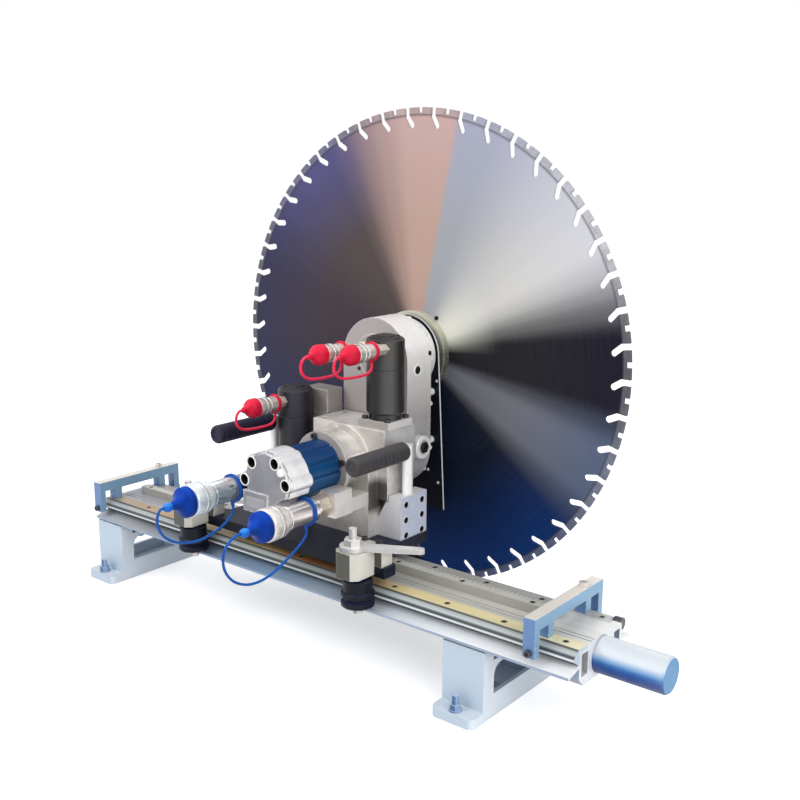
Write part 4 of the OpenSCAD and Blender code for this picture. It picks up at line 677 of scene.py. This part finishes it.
MAIN_CORD_D, SMALL_CORD_D = 4.0, 4.4
CORDS = {
    "right_main": (MAIN_CORD_D, "cord_blue", [
        (128, -237, 246), (128, -246, 246), (127, -256, 241), (126, -265, 231), (126, -269, 216),
        (126, -265, 198), (127, -252, 181), (128, -232, 170), (128, -212, 166), (128, -192, 167),
        (128, -170, 173), (128, -150, 182), (128, -132, 191), (128, -117, 200), (128, -107, 210),
        (128, -107, 218)]),
    "left_main": (MAIN_CORD_D, "cord_blue", [
        (10, -275, 268), (10, -281, 268), (10, -286, 261), (9, -287, 250), (9, -283, 236),
        (9, -272, 222), (9, -254, 211), (10, -232, 205), (10, -210, 203), (10, -190, 206),
        (10, -172, 211), (10, -158, 218), (10, -145, 230), (10, -145, 240)]),
    "front_swing": (SMALL_CORD_D, "strap_red", [
        (160, -64, 476), (160, -70, 476), (161, -77, 471), (161, -79, 462), (161, -76, 453),
        (161, -66, 446), (161, -50, 443), (161, -30, 442), (160, -12, 442), (160, 1, 445),
        (160, 6, 452), (160, 6, 458)]),
    "rear_swing": (SMALL_CORD_D, "strap_red", [
        (122, -90, 476), (122, -96, 476), (121, -103, 471), (120, -105, 462), (120, -102, 452),
        (121, -92, 444), (121, -76, 441), (121, -56, 440), (122, -38, 441), (122, -25, 445),
        (122, -20, 452), (122, -20, 458)]),
    "feed": (SMALL_CORD_D, "strap_red", [
        (-27, -86, 373), (-27, -92, 373), (-27, -98, 368), (-27, -100, 359), (-27, -97, 350),
        (-27, -87, 343), (-27, -70, 340), (-27, -50, 339), (-27, -32, 339), (-27, -21, 342),
        (-27, -16, 349), (-27, -16, 355)]),
}
for cord_name, (wide, tint_name, stops) in CORDS.items():
    make_cord(cord_name + "_strap", stops, wide, cord_name + "_cap", M[tint_name], cord_name + "_lanyard")

# ---- mesh helpers


def place_mesh(name, mesh, finish, body, sharp=35.0, replaced=None):
    """Links a bmesh as a piece with smooth faces and sharp creases."""
    bmesh.ops.recalc_face_normals(mesh, faces=mesh.faces)
    limit = math.radians(sharp)
    for face in mesh.faces:
        face.smooth = True
    for edge in mesh.edges:
        edge.smooth = len(edge.link_faces) == 2 and edge.calc_face_angle(0.0) < limit
    data = bpy.data.meshes.new(name)
    mesh.to_mesh(data)
    mesh.free()
    data.materials.append(finish)
    piece = bpy.data.objects.new(name, data)
    scene.collection.objects.link(piece)
    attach(piece, body)
    if replaced:
        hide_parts(replaced)
    return piece


def lathe_into(mesh, profile, centre, along, sides, ripple=None):
    """Turns a profile of (distance along the axis, radius) about an axis through centre."""
    along = Vector(along).normalized()
    u = Vector((1, 0, 0)) if abs(along.x) < 0.7 else Vector((0, 1, 0))
    u = (u - along * u.dot(along)).normalized()
    v = u.cross(along)
    rows = []
    for index, (distance, radius) in enumerate(profile):
        middle = Vector(centre) + along * distance
        if radius < 1e-6:
            rows.append([mesh.verts.new(middle * MM)])
            continue
        row = []
        for k in range(sides):
            turn = 2 * math.pi * k / sides
            reach = radius + (ripple(index, k) if ripple else 0.0)
            row.append(mesh.verts.new((middle + (u * math.cos(turn) + v * math.sin(turn)) * reach) * MM))
        rows.append(row)
    for row, after in zip(rows, rows[1:]):
        for k in range(sides):
            j = (k + 1) % sides
            if len(row) == 1 and len(after) == 1:
                continue
            if len(row) == 1:
                mesh.faces.new((row[0], after[k], after[j]))
            elif len(after) == 1:
                mesh.faces.new((row[k], after[0], row[j]))
            else:
                mesh.faces.new((row[k], after[k], after[j], row[j]))


def lathe(name, profile, centre, along, finish, body, sides=64, ripple=None, replaced=None, sharp=35.0):
    """A turned piece; centre in millimetres, ripple moves single points of a row in or out."""
    mesh = bmesh.new()
    lathe_into(mesh, profile, centre, along, sides, ripple)
    return place_mesh(name, mesh, M[finish], body, sharp, replaced)


def ring_profile(y0, y1, inner, outer, soft=0.5):
    """A closed ring section with softened outer corners."""
    return [(y0, inner), (y0, outer - soft), (y0 + soft, outer), (y1 - soft, outer), (y1, outer - soft),
            (y1, inner), (y0, inner)]


FORWARD, UPWARD, RIGHTWARD = (0, -1, 0), (0, 0, 1), (1, 0, 0)

# ---- couplers and their caps

PORT_HEX, MAIN_COLLAR, MAIN_BARREL_R, MAIN_COLLAR_R = 25.0, 36.0, 18.5, 25.0
RING_TO_COLLAR = 50.0


def main_coupler(side, port, barrel):
    """Hexagon on the port block, sleeve, and the locking collar with its bands."""
    c0 = PORT_HEX + barrel
    c1 = c0 + MAIN_COLLAR
    r, big = MAIN_BARREL_R, MAIN_COLLAR_R
    node, body, slot = "main_couplers", "carriage", "coupler_zinc"
    sleeve, band = ("coupler_barrel", "coupler_zinc") if side == "right" else ("barrel_cool", "coupler_cool")
    lathe(side + "_coupler_hex", [
        (0, 0), (0, 15.4), (1.6, 17), (23, 17), (24.6, 15.4), (24.6, 0)],
        port, FORWARD, "hex_zinc", body, 6, replaced=node)
    lathe(side + "_coupler_barrel", [
        (23, 0), (23, 15), (26.5, 15), (27, r - 1.1), (28.2, r), (c0 - 6, r), (c0 - 5.4, r - 0.6),
        (c0 - 4.6, r - 0.6), (c0 - 4, r), (c0 - 0.2, r), (c0 - 0.2, 0)],
        port, FORWARD, sleeve, body, replaced=node)

    def fluted(index, k):
        """Presses every third column of the collar's broad band in a little."""
        return -0.5 if index in (8, 9) and k % 3 == 0 else 0.0

    lathe(side + "_coupler_collar", [
        (c0 - 0.5, 0), (c0 - 0.5, 20.2), (c0 + 0.6, 21.4), (c0 + 5.5, 21.4), (c0 + 6.2, 20.6),
        (c0 + 7.4, 20.6), (c0 + 8, 23.6), (c0 + 9, 24.4), (c0 + 10, 24.4), (c0 + 17, 24.4),
        (c0 + 17.5, 24.4), (c0 + 18.1, 23.4), (c0 + 19.9, 23.4), (c0 + 20.5, 24.4), (c0 + 21.3, big),
        (c0 + 33.5, big), (c1 - 0.9, big - 0.8), (c1, big - 2.2), (c1, 14.2), (c1 - 1.2, 13.05),
        (c1 - 18, 13.05), (c1 - 18, 0)],
        port, FORWARD, band, body, 96, fluted, node)


def main_cap(side, port, barrel):
    """Dust cap with its plug, disc, waisted cone and knob, and the ring round the sleeve."""
    d = PORT_HEX + barrel + MAIN_COLLAR
    ring = PORT_HEX + barrel - RING_TO_COLLAR
    body = side + "_main_cap"
    lathe(side + "_cap_disc", [
        (d - 12, 0), (d - 12, 12.4), (d - 11.4, 13), (d + 0.35, 13), (d + 0.35, 22), (d + 1.2, 23),
        (d + 3.9, 23), (d + 4.2, 22.5), (d + 4.5, 22.5), (d + 4.8, 23), (d + 9.4, 23), (d + 10.6, 22.2),
        (d + 12, 19.6), (d + 14, 15.8), (d + 16.6, 12.2), (d + 19.6, 9.6), (d + 23, 7.8),
        (d + 26, 6.8), (d + 29, 6), (d + 31.5, 5.4), (d + 31.5, 0)],
        port, FORWARD, "cap_blue", body, replaced=body)
    lathe(side + "_cap_knob", [
        (d + 31, 0), (d + 31, 5.4), (d + 33.2, 6.3), (d + 35, 6.9), (d + 38.5, 6.9), (d + 41.5, 5.9),
        (d + 43.4, 4), (d + 44, 2), (d + 44, 0)],
        port, FORWARD, "knob_blue", body, 32, replaced=body)
    mesh = bmesh.new()
    lathe_into(mesh, ring_profile(ring - 2.6, ring + 2.6, MAIN_BARREL_R + 0.3, MAIN_BARREL_R + 3.8, 0.9),
               port, FORWARD, 64)
    lug = (port[0], port[1] - ring, port[2])
    lathe_into(mesh, [(-28, 0), (-28, 2.4), (-27.4, 3), (-21.5, 3), (-20.6, 2.2), (-20.6, 0)],
               lug, UPWARD, 24)
    place_mesh(side + "_cap_ring", mesh, M["cord_blue"], body, replaced=body)


def small_coupler(name, port, back):
    """Small test coupler: hexagon, body and knurled sleeve."""
    node, body, slot = "small_couplers", "carriage", "coupler_zinc"
    mesh = bmesh.new()
    if back > 40:
        lathe_into(mesh, [(-back, 0), (-back, 8.2), (-back + 0.8, 9), (-back + 17, 9), (-back + 17.8, 8.2),
                          (-back + 17.8, 0)], port, FORWARD, 6)
        lathe_into(mesh, [(-back + 17, 0), (-back + 17, 7), (-15, 7), (-15, 0)], port, FORWARD, 32)
        back = 16
    lathe_into(mesh, [(-back, 0), (-back, 8.2), (-back + 0.8, 9), (-0.4, 9), (0.4, 8.2), (0.4, 0)],
               port, FORWARD, 6)
    place_mesh(name + "_coupler_hex", mesh, M["hex_zinc"], body, replaced=node)

    def knurled(index, k):
        """Presses every other column of the sleeve's end band in a little."""
        return -0.45 if index in (12, 13) and k % 2 else 0.0

    lathe(name + "_coupler_body", [
        (-0.6, 0), (-0.6, 10.8), (0.6, 12), (24.5, 12), (25.2, 11.2), (26.6, 11.2), (27.4, 12.4),
        (29, 13.3), (30.2, 14), (35, 14), (35.6, 13.4), (36.8, 13.4), (37.4, 14), (46.4, 14),
        (47.2, 13.7), (48.4, 13.2), (49, 12), (49, 7.4), (48.2, 6.05), (37, 6.05), (37, 0)],
        port, FORWARD, "coupler_zinc", body, 64, knurled, node)


def small_cap(name, port):
    """Red dust cap, its ring round the coupler's body and the lug that holds the strap."""
    body = name + "_cap"
    lathe(name + "_cap_disc", [
        (41, 0), (41, 5.6), (41.4, 6), (49.3, 6), (49.3, 14.8), (50, 15.5), (52.4, 15.5), (52.7, 15),
        (53.3, 15), (53.6, 15.5), (60.2, 15.5), (61, 15.2), (64, 13.6), (66.4, 11.6), (68.4, 9),
        (70, 6.6), (71.4, 5.4), (73, 5), (76.6, 5), (77.7, 4.2), (78, 3), (78, 0)],
        port, FORWARD, "cap_red", body, 48, replaced=body)
    mesh = bmesh.new()
    lathe_into(mesh, ring_profile(5.5, 10.5, 12.3, 14.9, 0.8), port, FORWARD, 48)
    lug = (port[0], port[1] - 8, port[2])
    lathe_into(mesh, [(-18, 0), (-18, 1.7), (-17.5, 2.2), (-13.4, 2.2), (-13, 1.7), (-13, 0)],
               lug, UPWARD, 24)
    place_mesh(name + "_cap_ring", mesh, M["cap_red"], body, replaced=body)


for side, port, barrel in (("right", RIGHT_PORT, RIGHT_BARREL), ("left", LEFT_PORT, LEFT_BARREL)):
    main_coupler(side, port, barrel)
    main_cap(side, port, barrel)
for name, port, back in (("front_swing", FRONT_SWING_PORT, 26), ("rear_swing", REAR_SWING_PORT, 57),
                         ("feed", FEED_PORT, 16)):
    small_coupler(name, port, back)
    small_cap(name, port)

# ---- grips


def grip(node, finish, grooves):
    """Moulded handle: flared shoulder, fine grooves, rounded end with a recess."""
    low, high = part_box(node)
    start = (0.5 * (low[0] + high[0]) / MM, high[1] / MM, 0.5 * (low[2] + high[2]) / MM)
    length = (high[1] - low[1]) / MM
    r = 0.5 * (high[2] - low[2]) / MM
    profile = [(0, 7.8), (0, r - 2.4), (0.9, r - 1.1), (2.6, r - 0.2), (4.5, r)]
    first_groove, pitch = 9.0, 9.5
    for k in range(grooves):
        groove = first_groove + pitch * k
        profile += [(groove, r), (groove + 0.5, r - 0.7), (groove + 1.5, r - 0.7), (groove + 2.0, r)]
    profile += [(length - 13, r), (length - 12.5, r - 0.7), (length - 11.5, r - 0.7), (length - 11, r),
                (length - 4.5, r), (length - 2, r - 1.1), (length - 0.5, r - 2.9), (length, r - 4.6),
                (length - 0.3, r - 6.2), (length - 2.4, r - 6.8), (length - 2.4, 0)]
    lathe(node + "_moulding", profile, start, FORWARD, finish, "carriage", 64, replaced=node)


grip("right_grip", "grip_rubber", 11)
grip("left_grip", "grip_navy", 2)

# ---- small fittings on the arm, blade, end cap, bracket and motors


def button(name, centre, along, radius, height, finish, body, sides=32, socket=0.0, dome=0.35):
    """A domed or chamfered head standing on a face, with an optional socket in it."""
    top = [(height * (1.0 - dome), radius), (height, radius * (1.0 - dome))]
    if socket:
        top += [(height, socket), (height * 0.35, socket), (height * 0.35, 0)]
    else:
        top += [(height, 0)]
    return lathe(name, [(-0.3, 0), (-0.3, radius)] + top, centre, along, finish, body, sides)


def arm_fittings():
    """Plug and screw on the cover's rim, and the front bearing cap with its screws."""
    for name, angle, radius, height, finish in (
            ("arm_rim_plug", math.radians(48.1), 3.2, 0.8, "bright_screw"),
            ("arm_rim_screw", math.radians(8.6), 4.0, 0.9, "plug_dark")):
        out = (math.cos(angle), 0.0, math.sin(angle))
        spot = (PIVOT_X + ARM_R * out[0], 161.0, SPIN_Z + ARM_R * out[2])
        button(name, spot, out, radius, height, finish, "arm", 24, radius * 0.55)
    lathe("arm_front_cap", [
        (-0.4, 0), (-0.4, 42), (1.4, 42), (2.2, 41.2), (2.2, 31), (1.5, 30.4), (1.5, 0)],
        (PIVOT_X, ARM_FRONT_Y, SPIN_Z), FORWARD, "arm_aluminium", "arm", 96)
    for k in range(6):
        turn = math.radians(30 + 60 * k)
        spot = (PIVOT_X + 36.5 * math.cos(turn), ARM_FRONT_Y - 2.2, SPIN_Z + 36.5 * math.sin(turn))
        button("arm_front_screw_%d" % k, spot, FORWARD, 3.2, 1.6, "dark_screws", "arm",
               24, 1.6)


def blade_pins():
    """Drive pins through the core beside the flange."""
    for k in range(2):
        turn = math.radians(54 + 180 * k)
        spot = (PIVOT_X + 74.5 * math.cos(turn), BLADE_FRONT_Y, SPIN_Z + 74.5 * math.sin(turn))
        button("drive_pin_%d" % k, spot, FORWARD, 3.6, 2.6, "plug_dark", "blade", 24, 1.6)


def side_port():
    """Threaded port in the arm's side, with its bright rim, and the plug in the side boss."""
    lathe("arm_side_port", [
        (-0.4, 0), (-0.4, 10.4), (0.5, 10.4), (1.1, 9.6), (1.1, 7.8), (0.4, 6.6), (0.4, 0)],
        (PIVOT_X + ARM_R, 128.2, 428.7), RIGHTWARD, "bright_screw", "arm", 48)
    lathe("arm_side_port_hole", [(0.3, 0), (0.3, 6.5), (0.7, 6.3), (0.7, 0)],
          (PIVOT_X + ARM_R, 128.2, 428.7), RIGHTWARD, "plug_dark", "arm", 32)
    boss = (PIVOT_X + ARM_R + 12.0, 0.5 * (ARM_FRONT_Y + 158.0) + 1.0, PIVOT_Z + 10.0)
    lathe("side_boss_ring", [
        (-12.2, 17.8), (-12.2, 19.2), (-11.4, 19.6), (-1.2, 19.4), (0.4, 18.2), (0.6, 17.0), (0.6, 12.4),
        (-0.4, 11.6), (-0.4, 17.8), (-12.2, 17.8)],
        boss, RIGHTWARD, "bright_screw", "arm", 64)
    lathe("side_boss_plug", [
        (-0.4, 0), (-0.4, 9.5), (3.2, 9.5), (4.2, 8.5), (4.2, 4.6), (1.2, 4.6), (1.2, 0)],
        boss, RIGHTWARD, "plug_dark", "arm", 6)


def guard_screws():
    """Small bright screw heads on the shield's face."""
    for k, (x, z) in enumerate(((147.0, 401.0), (152.5, 226.5), (131.0, 246.0))):
        button("guard_screw_%d" % k, (x, GUARD_FRONT_Y, z), FORWARD, 2.6, 1.4, "bright_screw", "arm",
               20)


def pocket_linings():
    """Machined rims and dark bores of the end cap's bolt pockets, and the bright plug between two of them."""
    for k, (angle, reach) in enumerate(CAP_POCKETS):
        turn = math.radians(angle)
        spot = (PIVOT_X + reach * math.cos(turn), CAP_FRONT_Y, PIVOT_Z + reach * math.sin(turn))
        lathe("cap_pocket_bore_%d" % k, [
            (-13.8, 3.6), (-13.8, 7.95), (0.1, 7.95), (0.1, 7.3), (-13.2, 7.3), (-13.2, 3.6), (-13.8, 3.6)],
            spot, FORWARD, "plug_dark", "carriage", 40)
        lathe("cap_pocket_rim_%d" % k, [
            (-0.2, 7.98), (-0.2, 10.2), (0.3, 10.2), (1.0, 9.4), (1.0, 8.4), (0.2, 7.98), (-0.2, 7.98)],
            spot, FORWARD, "bright_screw", "carriage", 48)
    lathe("cap_plug", [
        (-0.4, 0), (-0.4, 6.6), (2.4, 6.6), (4.6, 5.8), (6.2, 3.8), (6.8, 1.4), (6.8, 0)],
        (PIVOT_X + 33.0, CAP_FRONT_Y, PIVOT_Z + 20.5), FORWARD, "bright_screw", "carriage",
        40)


def bracket_bores():
    """Countersunk rims and dark bores of the bracket's six holes."""
    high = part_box("side_bracket")[1]
    face, top = high[0] / MM, high[2] / MM
    for k in range(6):
        spot = (face, BRACKET_HOLE_Y + (20 if k % 2 else -20), top - 38 + 25 * (k // 2 - 1))
        lathe("bracket_bore_%d" % k, [
            (-15, 0), (-15, 4.2), (-0.6, 4.2), (0.25, 5.2), (0.35, 4.9), (-0.3, 3.9), (-14, 3.9), (-14, 0)],
            spot, RIGHTWARD, "plug_dark", "carriage", 32)
        lathe("bracket_rim_%d" % k, [
            (-0.1, 5.3), (-0.1, 6.5), (0.3, 6.4), (0.45, 5.5), (-0.1, 5.3)],
            spot, RIGHTWARD, "bright_screw", "carriage", 32)


def motor_fittings():
    """Stepped lids and plugs on top of the swing and feed motors."""
    for name, (x, y), top, finish in (("swing", SWING_MOTOR, SWING_MOTOR_TOP, "motor_black"),
                                      ("feed", FEED_MOTOR, FEED_MOTOR_TOP, "feed_black")):
        lathe(name + "_motor_lid", [
            (-0.3, 0), (-0.3, 24), (1.2, 24), (2.0, 23.2), (2.0, 15), (3.6, 15), (4.2, 14.4), (4.2, 0)],
            (x, y, top), UPWARD, finish, "carriage")
        for k in range(4):
            turn = math.radians(45 + 90 * k)
            spot = (x + 19.5 * math.cos(turn), y + 19.5 * math.sin(turn), top + 2.0)
            button("%s_lid_screw_%d" % (name, k), spot, UPWARD, 2.6, 1.8, "dark_screws", "carriage",
                   24, 1.4)


def name_plate():
    """Blank plate on the foot block of the motor's end cap."""
    mesh = bmesh.new()
    x0, x1, z0, z1, edge, y, thick = 44.5, 82.5, 246.5, 263.5, 0.9, -148.0, 0.7
    rings = []
    for inset, depth in ((0.0, 0.25), (0.0, -thick * 0.4), (edge, -thick)):
        rings.append([mesh.verts.new(Vector((x, y + depth, z)) * MM) for x, z in (
            (x0 + inset, z0 + inset), (x1 - inset, z0 + inset), (x1 - inset, z1 - inset),
            (x0 + inset, z1 - inset))])
    for row, after in zip(rings, rings[1:]):
        for k in range(4):
            j = (k + 1) % 4
            mesh.faces.new((row[k], row[j], after[j], after[k]))
    mesh.faces.new(rings[0][::-1])
    mesh.faces.new(rings[-1])
    place_mesh("blank_name_plate", mesh, M["blank_plate"], "carriage", 20.0)


arm_fittings()
blade_pins()
side_port()
guard_screws()
pocket_linings()
bracket_bores()
motor_fittings()
name_plate()

# ---- light and floor


def share_seen(n, *kinds):
    """1 for the kinds of ray that should see the white surroundings, 0 for the others."""
    path = n.add("ShaderNodeLightPath")
    total = path.outputs["Is Camera Ray"]
    for kind in kinds:
        total = n.math("MAXIMUM", total, path.outputs[kind])
    return total


def make_world():
    """White for the camera and in reflections, a cooler and weaker light for everything else."""
    world = bpy.data.worlds.new("studio")
    scene.world = world
    n = Nodes(owner=world)
    ambient, white = (n.add("ShaderNodeBackground") for _ in range(2))
    ambient.inputs["Color"].default_value = (0.95, 0.97, 1.0, 1.0)
    ambient.inputs["Strength"].default_value = 0.68
    white.inputs["Color"].default_value = (1.0, 1.0, 1.0, 1.0)
    mix = n.add("ShaderNodeMixShader")
    n.link(share_seen(n, "Is Glossy Ray", "Is Transmission Ray"), mix.inputs["Fac"])
    n.link(ambient.outputs[0], mix.inputs[1])
    n.link(white.outputs[0], mix.inputs[2])
    n.link(mix.outputs[0], n.tree.nodes["World Output"].inputs["Surface"])


def make_lamps():
    """Three area lamps: name, place, target, size, power."""
    for name, spot, aim, size, power in (
            ("key", (-1.0, -1.9, 2.1), (0.1, 0.0, 0.3), 1.4, 28.0),
            ("fill", (2.3, -0.9, 1.5), (0.1, 0.0, 0.3), 1.6, 29.0),
            ("back", (-0.4, 1.9, 1.9), (0.1, 0.1, 0.3), 1.6, 16.0)):
        data = bpy.data.lights.new(name, "AREA")
        data.energy = power
        data.size = size
        lamp = bpy.data.objects.new(name, data)
        scene.collection.objects.link(lamp)
        lamp.location = spot
        lamp.rotation_euler = (Vector(aim) - Vector(spot)).to_track_quat("-Z", "Y").to_euler()


def make_floor():
    """A white disc just below the feet, lit a little from within so that it stays white."""
    mesh = bmesh.new()
    bmesh.ops.create_circle(mesh, cap_ends=True, segments=64, radius=9.0)
    data = bpy.data.meshes.new("floor")
    mesh.to_mesh(data)
    mesh.free()
    floor = bpy.data.objects.new("floor", data)
    scene.collection.objects.link(floor)
    floor.location = (0.0, 0.0, -0.0004)
    n = Nodes("floor")
    diffuse = n.add("ShaderNodeBsdfDiffuse")
    diffuse.inputs["Color"].default_value = (0.9, 0.9, 0.9, 1.0)
    glow = n.add("ShaderNodeEmission")
    n.link(n.math("MULTIPLY", share_seen(n, "Is Glossy Ray"), 0.5), glow.inputs["Strength"])
    both = n.add("ShaderNodeAddShader")
    n.link(diffuse.outputs[0], both.inputs[0])
    n.link(glow.outputs[0], both.inputs[1])
    n.link(both.outputs[0], n.tree.nodes["Material Output"].inputs["Surface"])
    data.materials.append(n.material)


make_world()
make_lamps()
make_floor()
scene.view_settings.view_transform = "Standard"
